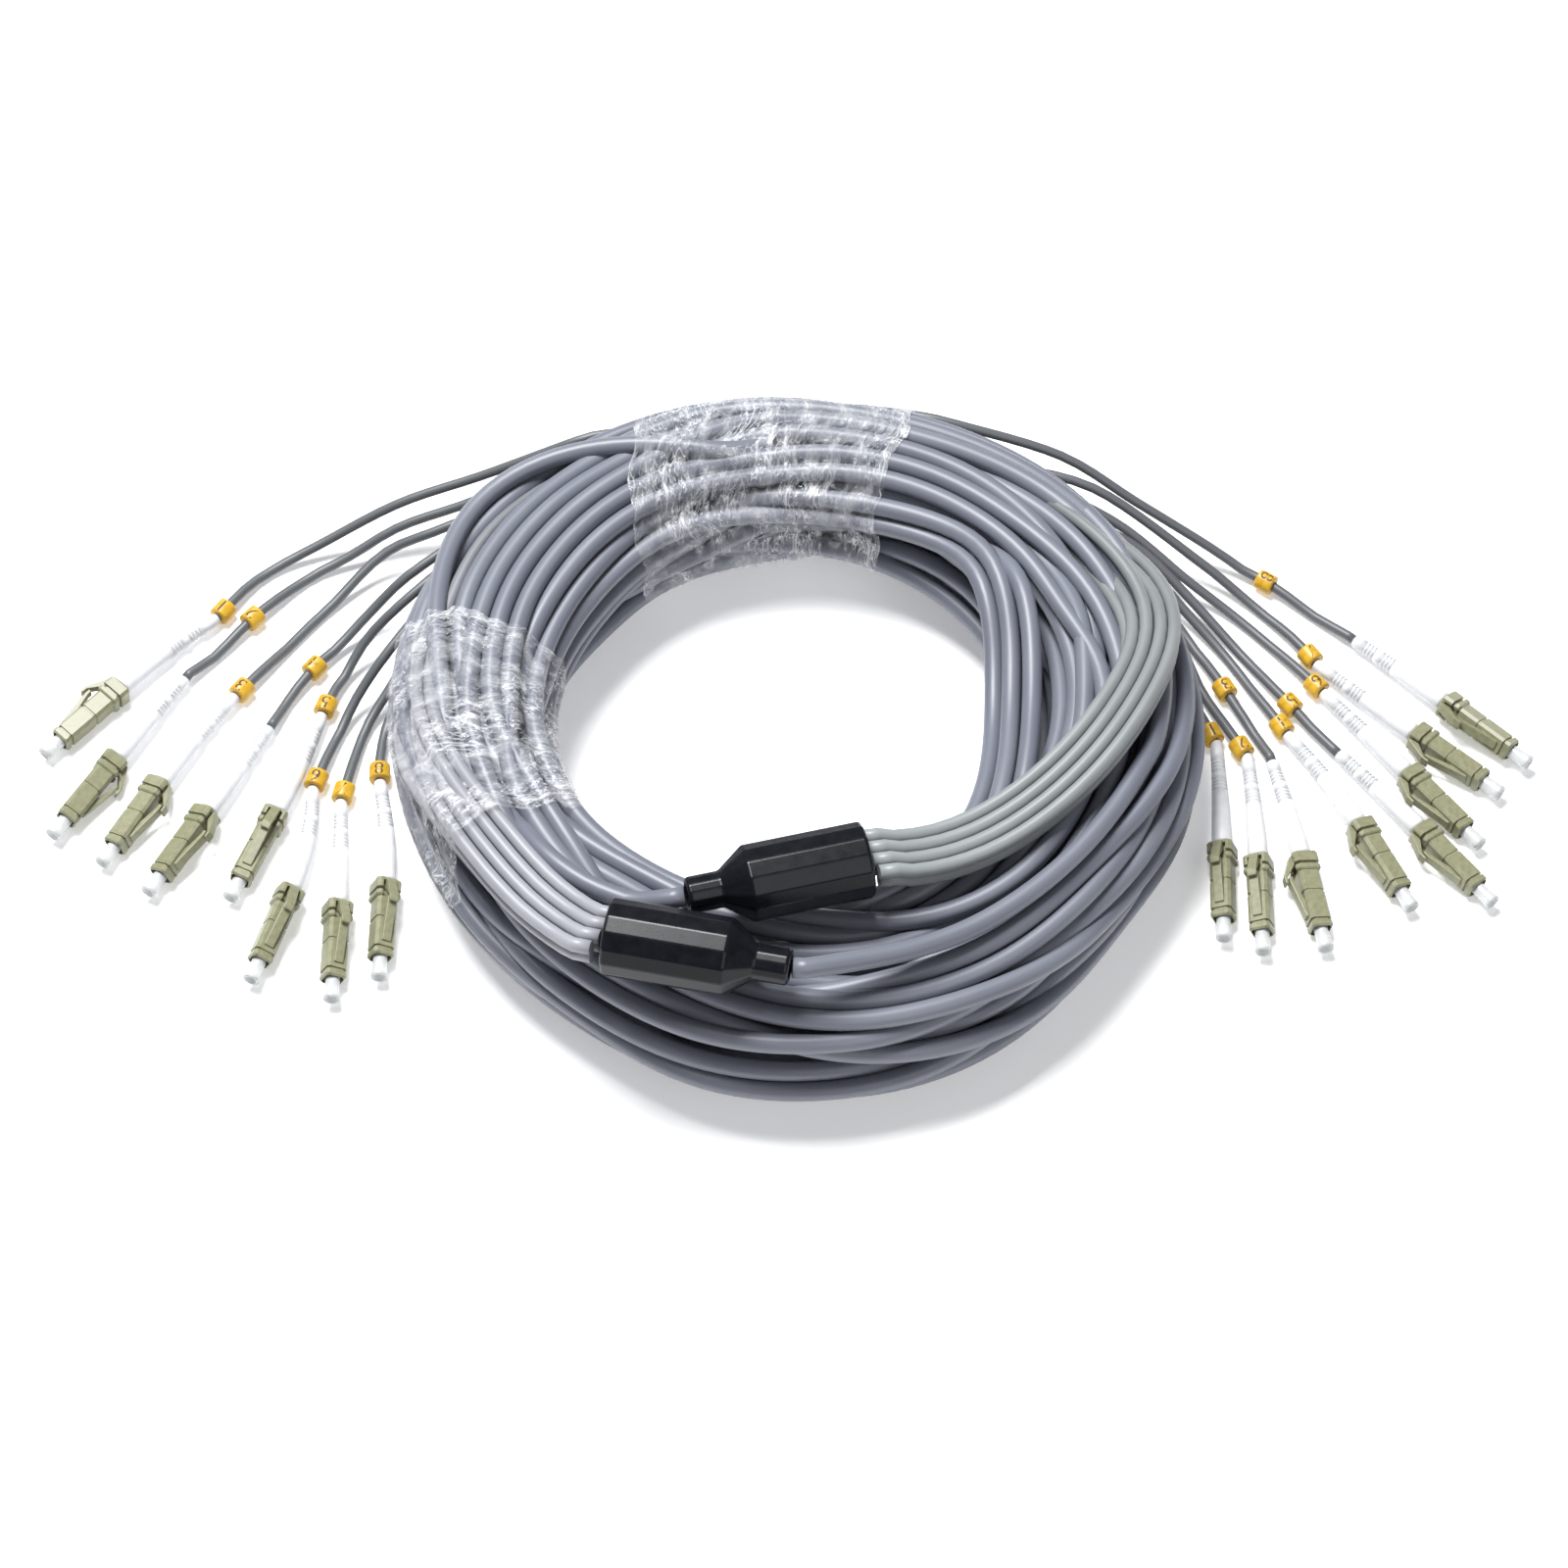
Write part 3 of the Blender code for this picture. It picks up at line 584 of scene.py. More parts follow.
def in_section(unit, middles, halves, inset):
    """Points (radius, height) for points of the unit disc, an inset inside the section's outline."""
    level = np.linalg.norm(unit, axis=-1, keepdims=True)
    way = unit / np.maximum(level, 1e-9)
    way = np.sign(way) * np.abs(way) ** (2 / SECTION_POWER)
    return middles + way * level * (halves - inset)


def breakout_height():
    _, height, _, _ = bundle_at(270.0)
    return height - FLAT_UNDERSIDE + CLEARANCE + BREAKOUT_DIAMETER / 2


def breakout_ends(key):
    """The middles of a housing's two end faces, big end first."""
    big_end, towards = [on_ring(angle, outward, breakout_height()) for angle, outward in BREAKOUTS[key]]
    return big_end, big_end + (towards - big_end).normalized() * BREAKOUT_TOTAL


def way_out(key, at_neck):
    """A housing's end face that cables leave, and the direction away from it."""
    big_end, neck_end = breakout_ends(key)
    if at_neck:
        return neck_end, (neck_end - big_end).normalized()
    return big_end, (big_end - neck_end).normalized()


def surface_route(start, away, plan, diameter):
    """A cable from a housing's end face down onto the top of the coil, along plan points."""
    route = [start + away * CLEARANCE, start + away * (CLEARANCE + STRAIGHT_END)]
    for i, (angle, outward) in enumerate(plan):
        rest = coil_top(angle, outward) + diameter / 2
        drop = ease(min(1.0, (i + 1) / 2))
        route.append(on_ring(angle, outward, start.z + (rest - start.z) * drop))
    return smooth_route(route, 1.0 * MM)


def at_angles(route, angles):
    """Radius and height of a route at angles round the coil; the route's angles run one way."""
    spots = np.array([(math.degrees(math.atan2(p.y, p.x)), math.hypot(p.x, p.y), p.z) for p in route])
    turns = np.unwrap(spots[:, 0], period=360.0)
    wanted = np.asarray(angles, dtype=float)
    wanted = wanted + 360.0 * np.round((turns.mean() - wanted.mean()) / 360.0)
    order = np.argsort(turns)
    return np.stack([np.interp(wanted, turns[order], spots[order, k]) for k in (1, 2)], axis=1)


def wander(count, random, span):
    """Smooth random moves along a cord, as (radius, height) changes with a spread of one."""
    raw = random.normal(size=(count + 8 * span, 2))
    window = np.exp(-0.5 * (np.arange(-3 * span, 3 * span + 1) / span) ** 2)
    soft = np.stack([np.convolve(raw[:, k], window, mode="same") for k in (0, 1)], axis=1)
    soft = soft[4 * span:4 * span + count]
    return soft / soft.std(axis=0)


def softened(spots, passes):
    """A row of spots with its small corners evened out, its ends kept."""
    for _ in range(passes):
        spots = np.concatenate([spots[:1], spots[1:-1] / 2 + (spots[:-2] + spots[2:]) / 4, spots[-1:]])
    return spots


def station_of(angle):
    """The place of an angle in the stations, counted from the first one."""
    return ((angle - FIRST_ANGLE) / STATION_STEP) % STATIONS


class Strands:
    """All turns of the trunk and the sixteen legs where they run in the coil, station by station.

    spots is (station, strand, (radius, height)). The first rows are the trunk's turns: the last
    station of one turn is followed by the first station of the next.
    """

    def __init__(self):
        self.random = np.random.default_rng(11)
        self.angles = FIRST_ANGLE + STATION_STEP * np.arange(STATIONS)
        frames = [section_frame(angle) for angle in self.angles]
        self.middles = np.array([f[0] for f in frames])[:, None, :]
        self.halves = np.array([f[1] for f in frames])[:, None, :]
        count = TURNS + len(LEGS)
        self.radii = np.full((STATIONS, count), LEG_DIAMETER / 2)
        self.radii[:, :TURNS] = TRUNK_DIAMETER / 2
        self.homes = np.zeros((STATIONS, count, 2))
        self.there = np.zeros((STATIONS, count), dtype=bool)
        self.free = np.ones((STATIONS, count), dtype=bool)
        self.reach = np.zeros((STATIONS, count))
        self.runs = {}

    def add_trunk(self):
        """Homes of the turns, the two ends held on top of the coil."""
        slots = first_slots()
        share = np.arange(STATIONS)[:, None, None] / STATIONS
        unit = slots[None, :-1] * (1 - share) + slots[None, 1:] * share
        lean = -math.radians(TWIST) * np.sin(np.radians(self.angles - TWIST_ANGLE))[:, None]
        unit = np.stack([unit[..., 0] * np.cos(lean) - unit[..., 1] * np.sin(lean),
                         unit[..., 0] * np.sin(lean) + unit[..., 1] * np.cos(lean)], axis=-1)
        inset = TRUNK_DIAMETER / 2
        homes = in_section(unit, self.middles, self.halves, inset)
        moves = wander(TURNS * STATIONS, self.random, WANDER_SPAN) * WANDER
        homes += moves.reshape(TURNS, STATIONS, 2).transpose(1, 0, 2)
        self.homes[:, :TURNS] = homes
        self.there[:, :TURNS] = True
        for turn, key, held, coming_down, counted_from in TAIL_STATIONS:
            stations = np.arange(*held)
            route = surface_route(*way_out(key, True), TRUNK_TAILS[key], TRUNK_DIAMETER)
            self.homes[stations, turn] = at_angles(route, self.angles[stations])
            self.free[stations, turn] = False
            beyond = np.arange(*coming_down)
            near = np.abs(beyond - counted_from) / len(beyond)
            self.reach[beyond, turn] = (1 - near) * TRUNK_DIAMETER * TAIL_REACH
        self.there[:TAIL_STATIONS[0][2][0], 0] = False
        self.there[TAIL_STATIONS[1][2][1]:, TURNS - 1] = False
        for turn, points in LOOSE_TURNS:
            bends = np.array(points)
            held = (self.angles >= bends[0, 0]) & (self.angles <= bends[-1, 0])
            spots = [np.interp(self.angles[held], bends[:, 0], bends[:, k]) * MM for k in (1, 2)]
            self.homes[held, turn] = np.stack(spots, axis=1)
            self.free[held, turn] = False

    def add_leg(self, row, key, number):
        """Home of a leg from its housing's bundle to where it leaves the coil."""
        side = key.split("_")[0]
        housing = HOUSING_OF[side]
        way = 1 if side == "left" else -1
        exit_angle, exit_height = LEGS[key][0]
        plan = LEG_BUNDLES[housing] + LEG_SHOULDERS[housing]
        route = surface_route(*way_out(housing, False), plan, LEG_BUNDLE_DIAMETER)
        onwards, back = (math.ceil, math.floor) if way == 1 else (math.floor, math.ceil)
        first = onwards(station_of(BREAKOUTS[housing][0][0])) + way
        held_end = round(station_of(plan[-1][0]))
        last = back(station_of(exit_angle) - LEG_MARGIN * way)
        stations = np.arange(first, last + way, way)
        held = stations[:abs(held_end - first) + 1]
        offset = np.array(((number % 4 - 1.5), (0.5 if number < 4 else -0.5))) * LEG_PITCH
        bundle = at_angles(route, self.angles[held]) + offset
        beyond = self.angles[held] - LEG_BUNDLES[housing][-1][0]
        beyond = np.abs((beyond + 180.0) % 360.0 - 180.0) * (np.arange(len(held)) > len(held) // 2)
        bundle[:, 1] -= LEG_SINK[housing] * beyond
        middles, halves = self.middles[:, 0], self.halves[:, 0]
        start_way = (bundle[-1] - middles[held[-1]]) / halves[held[-1]]
        start_turn = math.atan2(abs(start_way[1]) ** (SECTION_POWER / 2), start_way[0])
        last_rise = (exit_height * MM - middles[last, 1]) / (halves[last, 1] - LEG_DIAMETER / 2)
        end_turn = math.asin(math.copysign(min(1.0, abs(last_rise)) ** (SECTION_POWER / 2), last_rise))
        loose = stations[len(held):]
        share = (np.arange(len(loose)) + 1) / len(loose)
        turns = start_turn + (end_turn - start_turn) * ease(share)
        depth = LEG_DIAMETER / 2 + LEG_DEPTH * np.sin(np.pi * share) ** LEG_DEPTH_POWER
        unit = np.stack([np.cos(turns), np.sin(turns)], axis=1)
        inner = in_section(unit, middles[loose], halves[loose], depth[:, None])
        self.homes[held, row] = bundle
        moves = wander(len(loose), self.random, LEG_WANDER_SPAN)
        self.homes[loose, row] = inner + moves * LEG_DIAMETER * LEG_WANDER
        self.there[stations, row] = True
        thin = np.clip((np.arange(len(stations)) - LEG_THINS[0]) / (LEG_THINS[1] - LEG_THINS[0]), 0, 1)
        self.radii[stations, row] = (LEG_START_DIAMETER + (LEG_DIAMETER - LEG_START_DIAMETER) * thin) / 2
        self.free[held[:-2], row] = False
        self.reach[held[-2:], row] = LEG_DIAMETER * LEG_REACH
        sinking = loose[:LEG_REACH_STATIONS]
        self.reach[sinking, row] = LEG_DIAMETER * LEG_REACH * (1 - np.arange(len(sinking)) / len(sinking))
        self.homes[last, row] = in_section(unit[-1], middles[last], halves[last], np.array(-LEG_STANDS_OUT))
        self.reach[loose[-2:], row] = np.array(LEG_LAST_REACH) * MM
        self.free[last, row] = False
        self.runs[key] = stations

    def smooth(self, spots):
        """Pull every strand towards straight between its neighbours and back to its home."""
        chain = spots[:, :TURNS].transpose(1, 0, 2).reshape(-1, 2)
        pulled = chain.copy()
        pulled[1:-1] += SMOOTHING * ((chain[:-2] + chain[2:]) / 2 - chain[1:-1])
        moved = spots.copy()
        moved[:, :TURNS] = pulled.reshape(TURNS, STATIONS, 2).transpose(1, 0, 2)
        legs = spots[:, TURNS:]
        inside = self.there[:-2, TURNS:] & self.there[2:, TURNS:]
        change = SMOOTHING * ((legs[:-2] + legs[2:]) / 2 - legs[1:-1])
        moved[1:-1, TURNS:] += change * inside[..., None]
        moved += HOME_PULL * (self.homes - moved)
        return np.where(self.free[..., None], moved, spots)

    def push_apart(self, spots):
        """Move strands that overlap away from each other."""
        apart = spots[:, :, None, :] - spots[:, None, :, :]
        distance = np.linalg.norm(apart, axis=-1)
        wanted = self.radii[:, :, None] + self.radii[:, None, :] + TURN_GAP
        both = self.there[:, :, None] & self.there[:, None, :] & ~np.eye(self.radii.shape[1], dtype=bool)
        overlap = np.clip(wanted - distance, 0.0, None) * both
        share = np.where(self.free[:, None, :], 0.5, 1.0)
        push = (apart / np.maximum(distance, 1e-9)[..., None] * (overlap * share)[..., None]).sum(axis=2)
        return np.where(self.free[..., None], spots + PUSH * push, spots)

    def hold_in(self, spots):
        """Keep every strand inside the section's outline, off the floor."""
        room = self.halves - self.radii[..., None] + self.reach[..., None]
        away = (spots - self.middles) / room
        level = (np.abs(away) ** SECTION_POWER).sum(axis=-1) ** (1 / SECTION_POWER)
        inside = spots - (spots - self.middles) * (1 - 1 / np.maximum(level, 1.0))[..., None]
        inside[..., 1] = np.maximum(inside[..., 1], self.radii + FLOOR_GAP)
        return np.where(self.free[..., None], inside, spots)

    def settle(self):
        """Let all strands find their places between each other."""
        spots = self.homes.copy()
        for _ in range(SETTLE_STEPS):
            spots = self.smooth(spots)
            for _ in range(2):
                spots = self.push_apart(spots)
            spots = self.hold_in(spots)
        self.spots = spots

    def trunk_route(self):
        """The trunk's settled turns in winding order, in space."""
        first, left_off = ENDS_LEFT_OFF
        chain = self.spots[:, :TURNS].transpose(1, 0, 2).reshape(-1, 2)[first:TURNS * STATIONS - left_off]
        chain = softened(chain, TURN_PASSES)
        chain[:TAIL_SPOTS] = softened(chain[:TAIL_SPOTS], TAIL_PASSES)
        return [polar(FIRST_ANGLE + STATION_STEP * i, radius, z)
                for i, (radius, z) in enumerate(chain, start=first)]

    def leg_route(self, row, key):
        stations = self.runs[key]
        spots = softened(self.spots[stations, row], LEG_PASSES)
        return [polar(self.angles[s], *spot) for s, spot in zip(stations, spots)]

    def film_radius(self, angle, turns):
        """Distance from the section's middle to a film round all strands, which dips between them."""
        exact = station_of(angle)
        low = int(exact)
        share = exact - low
        spots = self.spots[low] * (1 - share) + self.spots[(low + 1) % STATIONS] * share
        there = self.there[low] & self.there[(low + 1) % STATIONS]
        middle, _ = section_frame(angle)
        ways = np.stack([np.cos(turns), np.sin(turns)], axis=1)
        support = (ways @ (spots[there] - middle).T + self.radii[low][there]).max(axis=1)
        facing = ways @ ways.T
        least = 0.2
        tight = np.where(facing > least, support[None, :] / np.maximum(facing, least), 1.0).min(axis=1)
        offsets = spots[there] - middle
        ahead = ways @ offsets.T
        beside = ways[:, :1] * offsets[:, 1] - ways[:, 1:] * offsets[:, 0]
        chord = np.clip(self.radii[low][there] ** 2 - beside ** 2, 0.0, None)
        touched = np.where(chord > 0.0, ahead + np.sqrt(chord), 0.0).max(axis=1)
        dip = np.minimum((tight - touched) * FILM_DIP, FILM_DEEPEST)
        return tight - (dip + np.roll(dip, 1) + np.roll(dip, -1)) / 3


def make_trunk(strands, paint):
    ends = {}
    for key in BREAKOUTS:
        start, away = way_out(key, True)
        ends[key] = [start + away * CLEARANCE, start + away * (CLEARANCE + STRAIGHT_END)]
    turns = strands.trunk_route()
    lead = np.array([tuple(spot) for spot in ends["a"][1:] + turns[:EASED_SPOTS]])
    eased = [Vector(spot) for spot in softened(lead, EASED_PASSES)]
    route = smooth_route(ends["a"][:1] + eased + turns[EASED_SPOTS:] + ends["b"][::-1], TRUNK_STEP)
    trunk = skin("trunk_cable", cord_rings(route, TRUNK_DIAMETER / 2, TRUNK_SIDES), paint)
    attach(trunk, "root")
    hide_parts("trunk_coil", "trunk_tail_a", "trunk_tail_b")


def make_breakout(key, paint):
    big_end, neck_end = breakout_ends(key)
    along = (neck_end - big_end).normalized()
    aside = along.cross(Vector((0, 0, 1))).normalized()
    body = BREAKOUT_DIAMETER / 2
    neck = BREAKOUT_NECK_DIAMETER / 2
    hole = neck - 1.2 * MM
    profile = (
        (1.2 * MM, body - 2.2 * MM), (0.0, body - 2.0 * MM),
        (0.0, body - BREAKOUT_RIM), (BREAKOUT_RIM, body),
        (BREAKOUT_BODY, body), (BREAKOUT_BODY + BREAKOUT_CONE, neck),
        (BREAKOUT_TOTAL - BREAKOUT_RIM, neck), (BREAKOUT_TOTAL, neck - BREAKOUT_RIM),
        (BREAKOUT_TOTAL, hole), (BREAKOUT_TOTAL - 1.0 * MM, hole),
    )
    rings = []
    for distance, radius in profile:
        turns = [math.tau * (i + 0.5) / BREAKOUT_FACETS for i in range(BREAKOUT_FACETS)]
        rings.append([big_end + along * distance + aside * radius * math.cos(t)
                      + Vector((0, 0, radius * math.sin(t))) for t in turns])
    housing = skin("breakout_housing_" + key, rings, paint)
    housing.data.shade_flat()
    soften(housing, 0.3 * MM, 15.0)
    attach(housing, "root")
    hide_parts("breakout_" + key)


def soften(piece, width, angle=30.0):
    bevel = piece.modifiers.new("edges", "BEVEL")
    bevel.width = width
    bevel.segments = 2
    bevel.limit_method = "ANGLE"
    bevel.angle_limit = math.radians(angle)
    bevel.harden_normals = False


def turned_frame(heading, roll):
    """Forward, side and latch directions of a connector."""
    turn = math.radians(heading)
    forward = Vector((math.cos(turn), math.sin(turn), 0.0))
    right = forward.cross(Vector((0, 0, 1)))
    lean = math.radians(roll)
    up = Vector((0, 0, 1)) * math.cos(lean) + right * math.sin(lean)
    return forward, up.cross(forward), up


def eight_points(half, cut):
    near = half - cut
    return [(half, near), (near, half), (-near, half), (-half, near),
            (-half, -near), (-near, -half), (near, -half), (half, -near)]


def latch_outlines():
    """The sprung latch and the trigger over its tip, as (distance, height) outlines."""
    top = BODY_SIDE / 2
    sunk = LATCH_THICKNESS / 2
    tip = BLOCK_LENGTH + 1.0 * MM
    root = BLOCK_LENGTH + BODY_LENGTH * 0.78
    peak = top + LATCH_RISE
    latch = [(root, top - sunk), (root, top + sunk), (tip + 1.2 * MM, peak), (tip, peak),
             (tip, peak - LATCH_THICKNESS), (tip + 1.0 * MM, peak - LATCH_THICKNESS),
             (root - 3.0 * MM, top - sunk)]
    hook = peak + TRIGGER_RISE
    trigger = [(0.6 * MM, BLOCK_SIDE / 2 - sunk), (0.6 * MM, BLOCK_SIDE / 2 + sunk),
               (tip, hook), (tip + 1.6 * MM, hook), (tip + 1.6 * MM, hook - LATCH_THICKNESS * 0.7),
               (tip + 0.2 * MM, hook - LATCH_THICKNESS * 0.8), (2.6 * MM, BLOCK_SIDE / 2 - sunk)]
    return latch, trigger


def rest_height(side, up):
    """Height of the connector's axis when its lowest corner is on the floor."""
    corners = [side * u + up * v for u, v in eight_points(BLOCK_SIDE / 2, CORNER_CUT)]
    for outline in latch_outlines():
        corners += [side * (sign * LATCH_WIDTH / 2) + up * h for _, h in outline for sign in (-1, 1)]
    return FLOOR_GAP - min(corner.z for corner in corners)


def connector_matrix(key):
    """Place of a connector: its x axis runs forward from the rear face, its z axis to the latch."""
    _, _, _, (outward, y), heading, _, roll = LEGS[key]
    forward, side, up = turned_frame(heading, roll)
    rear = in_fan(key, outward, y, rest_height(side, up))
    turned = Matrix((forward, side, up)).transposed().to_4x4()
    return Matrix.Translation(rear) @ turned


def boot_path(key):
    """Centres and headings from the boot's cable end to the connector's rear face."""
    _, _, _, _, heading, boot_heading, _ = LEGS[key]
    rear = connector_matrix(key).translation
    centres = [rear]
    headings = [heading]
    step = BOOT_LENGTH / (BOOT_BENDS - 1)
    for i in range(1, BOOT_BENDS):
        share = i / (BOOT_BENDS - 1)
        bend = heading + 2 * (boot_heading - heading) * (share - 0.5 / (BOOT_BENDS - 1))
        back = turned_frame(bend, 0.0)[0] * -step
        dip = rear.z + (MARKER_HEIGHT - rear.z) * share
        centres.append(Vector((*(centres[-1] + back).xy, dip)))
        headings.append(bend)
    return centres[::-1], headings[::-1]


def local_mesh(name, rings, paint, width):
    """A moulded piece with softened edges, built at the origin for a connector's matrix."""
    piece = skin(name, rings, paint)
    piece.data.shade_flat()
    soften(piece, width)
    return piece


def housing_outline(half, slot_depth):
    """A square with cut corners and a slot in its upper side, where the trigger lies."""
    slot = [(SLOT_HALF, half), (SLOT_HALF * 0.96, half - slot_depth),
            (-SLOT_HALF * 0.96, half - slot_depth), (-SLOT_HALF, half)]
    corners = eight_points(half, CORNER_CUT)
    return corners[:2] + slot + corners[2:]


def make_housing(paint):
    """Rear block with its groove and slot, front body with its notch line, and the cap's recess."""
    block = BLOCK_SIDE / 2
    body = BODY_SIDE / 2
    front = BLOCK_LENGTH + BODY_LENGTH
    rows = (
        (0.1, block - 0.35 * MM, 0.0), (0.45, block, 0.0), (1.0, block, 0.0), (1.05, block, 1.1),
        (2.7, block, 1.1), (2.8, block - 0.6 * MM, 0.6), (3.35, block - 0.6 * MM, 0.6),
        (3.45, block, 1.1), (4.3, block, 1.1), (4.6, block - 0.2 * MM, 0.8), (4.75, body, 0.0),
        (9.4, body, 0.0), (9.5, body - 0.2 * MM, 0.0), (9.9, body - 0.2 * MM, 0.0), (10.0, body, 0.0),
        (16.4, body, 0.0), (16.45, body - 0.55 * MM, 0.0), (16.95, body - 0.55 * MM, 0.0),
        (17.0, body, 0.0), (front / MM - 0.35, body, 0.0), (front / MM, body - 0.35 * MM, 0.0),
        (front / MM, 1.95 * MM, 0.0), (front / MM - RECESS_DEPTH / MM, 1.9 * MM, 0.0),
    )
    rings = [[(distance * MM, u, v) for u, v in housing_outline(half, depth * MM)]
             for distance, half, depth in rows]
    return local_mesh("connector", rings, paint, 0.12 * MM)


def make_strip(name, outline, width, paint):
    """A bar of constant width with a (distance, height) outline."""
    rings = [[(x, sign * width / 2, z) for x, z in outline] for sign in (-1, 1)]
    return local_mesh(name, rings, paint, 0.15 * MM)


def make_cap(paint):
    """A thin-walled cap with a flared rim, hollow at its front."""
    front = BLOCK_LENGTH + BODY_LENGTH
    plain = CAP_DIAMETER / 2
    rim = CAP_TIP_DIAMETER / 2
    profile = (
        (CLEARANCE - RECESS_DEPTH, plain - 0.15 * MM), (CLEARANCE * 2 - RECESS_DEPTH, plain),
        (CAP_LENGTH * 0.3, plain), (CAP_LENGTH * 0.7, plain + 0.1 * MM), (CAP_LENGTH * 0.9, rim),
        (CAP_LENGTH, rim - 0.08 * MM), (CAP_LENGTH, rim - 0.5 * MM), (CAP_LENGTH * 0.8, plain - 0.6 * MM),
    )
    turns = [math.tau * i / 24 for i in range(24)]
    rings = [[(front + x, r * math.cos(t), r * math.sin(t)) for t in turns] for x, r in profile]
    return skin("cap", rings, paint)


def put(source, name, matrix, node):
    """A copy of a moulded piece at a connector's place."""
    piece = add_object(name, source.data)
    for modifier in source.modifiers:
        if modifier.type == "BEVEL":
            soften(piece, modifier.width)
    piece.matrix_world = matrix
    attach(piece, "root")
    if node:
        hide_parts(node)
    return piece


def make_boot(key, paint):
    """A slim boot with two groups of cuts in its rear half, its thin end at the marker if that is near."""
    centres, headings = boot_path(key)
    marker_gap, roll = LEGS[key][2] * MM, LEGS[key][6]
    share = np.linspace(0.0, 1.0, BOOT_BENDS)
    bottom, top = BOOT_CUT_HALF
    cuts = [start + BOOT_CUT_PITCH * i for start in BOOT_CUTS for i in range(BOOT_CUT_COUNT)]
    stops = [0.0, 0.02]
    if marker_gap < MARKER_NEAR:
        stops.insert(0, (MARKER_LENGTH / 2 - marker_gap) / BOOT_LENGTH)
    for cut in cuts:
        stops += [cut - top, cut - bottom, cut + bottom, cut + top]
    stops += BOOT_STOPS
    turns = np.arange(BOOT_SIDES) * math.tau / BOOT_SIDES
    rings = []
    for stop in stops:
        spot = Vector([np.interp(stop, share, [c[k] for c in centres]) for k in range(3)])
        spot += (centres[1] - centres[0]) * (BOOT_BENDS - 1) * min(0.0, stop)
        _, side, up = turned_frame(float(np.interp(stop, share, headings)), roll)
        radius = (BOOT_TIP_DIAMETER + (BOOT_DIAMETER - BOOT_TIP_DIAMETER) * ease(max(0.0, stop))) / 2
        if stop in (stops[0], stops[-1]):
            radius -= 0.2 * MM
        deep = any(abs(stop - cut) < (bottom + top) / 2 for cut in cuts)
        ring = []
        for turn in turns:
            open_side = abs(math.sin(turn)) > 0.3
            reach = radius - (BOOT_CUT_DEPTH if deep and open_side else 0.0)
            ring.append(spot + side * reach * math.cos(turn) + up * reach * math.sin(turn))
        rings.append(ring)
    boot = skin("boot_" + key, rings, paint)
    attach(boot, "root")
    return boot


def marker_mark(number, paint):
    """A plain number as a thin mesh bent round the marker sleeve, for the sleeve's own frame."""
    text = bpy.data.curves.new("mark", "FONT")
    text.body = str(number)
    text.size = 4.4 * MM
    text.align_x = "CENTER"
    text.align_y = "CENTER"
    text.resolution_u = 3
    holder = add_object("mark", text)
    bpy.context.view_layer.update()
    mesh = bpy.data.meshes.new_from_object(holder.evaluated_get(bpy.context.evaluated_depsgraph_get()))
    bpy.data.objects.remove(holder)
    radius = MARKER_DIAMETER / 2 + 0.03 * MM
    for vertex in mesh.vertices:
        x, y, _ = vertex.co
        vertex.co = (y, -radius * math.sin(x / radius), radius * math.cos(x / radius))
    mesh.materials.clear()
    mesh.materials.append(paint)
    return mesh


def make_marker(key, spot, ahead, paint, ink):
    """A printed sleeve round its leg."""
    number = int(key.split("_")[1])
    outer = MARKER_DIAMETER / 2
    inner = LEG_DIAMETER / 2 + 0.1 * MM
    half = MARKER_LENGTH / 2
    profile = ((-half, inner), (-half, outer - 0.3 * MM), (-half + 0.12 * MM, outer - 0.06 * MM),
               (-half + 0.4 * MM, outer), (half - 0.4 * MM, outer), (half - 0.12 * MM, outer - 0.06 * MM),
               (half, outer - 0.3 * MM), (half, inner))
    turns = [math.tau * i / 32 for i in range(32)]
    rings = [[(x, r * math.cos(t), r * math.sin(t)) for t in turns] for x, r in profile]
    sleeve = skin("marker_" + key, rings, paint)
    shape = bmesh.new()
    shape.from_mesh(sleeve.data)
    count = len(shape.faces)
    shape.from_mesh(marker_mark(number, ink))
    shape.faces.ensure_lookup_table()
    for face in shape.faces[count:]:
        face.material_index = 1
    shape.to_mesh(sleeve.data)
    shape.free()
    sleeve.data.materials.append(ink)
    side = ahead.cross(Vector((0, 0, 1))).normalized()
    up = side.cross(ahead)
    turned = Matrix((ahead, up.cross(ahead), up)).transposed().to_4x4()
    sleeve.matrix_world = Matrix.Translation(spot) @ turned
    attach(sleeve, "root")
    return sleeve


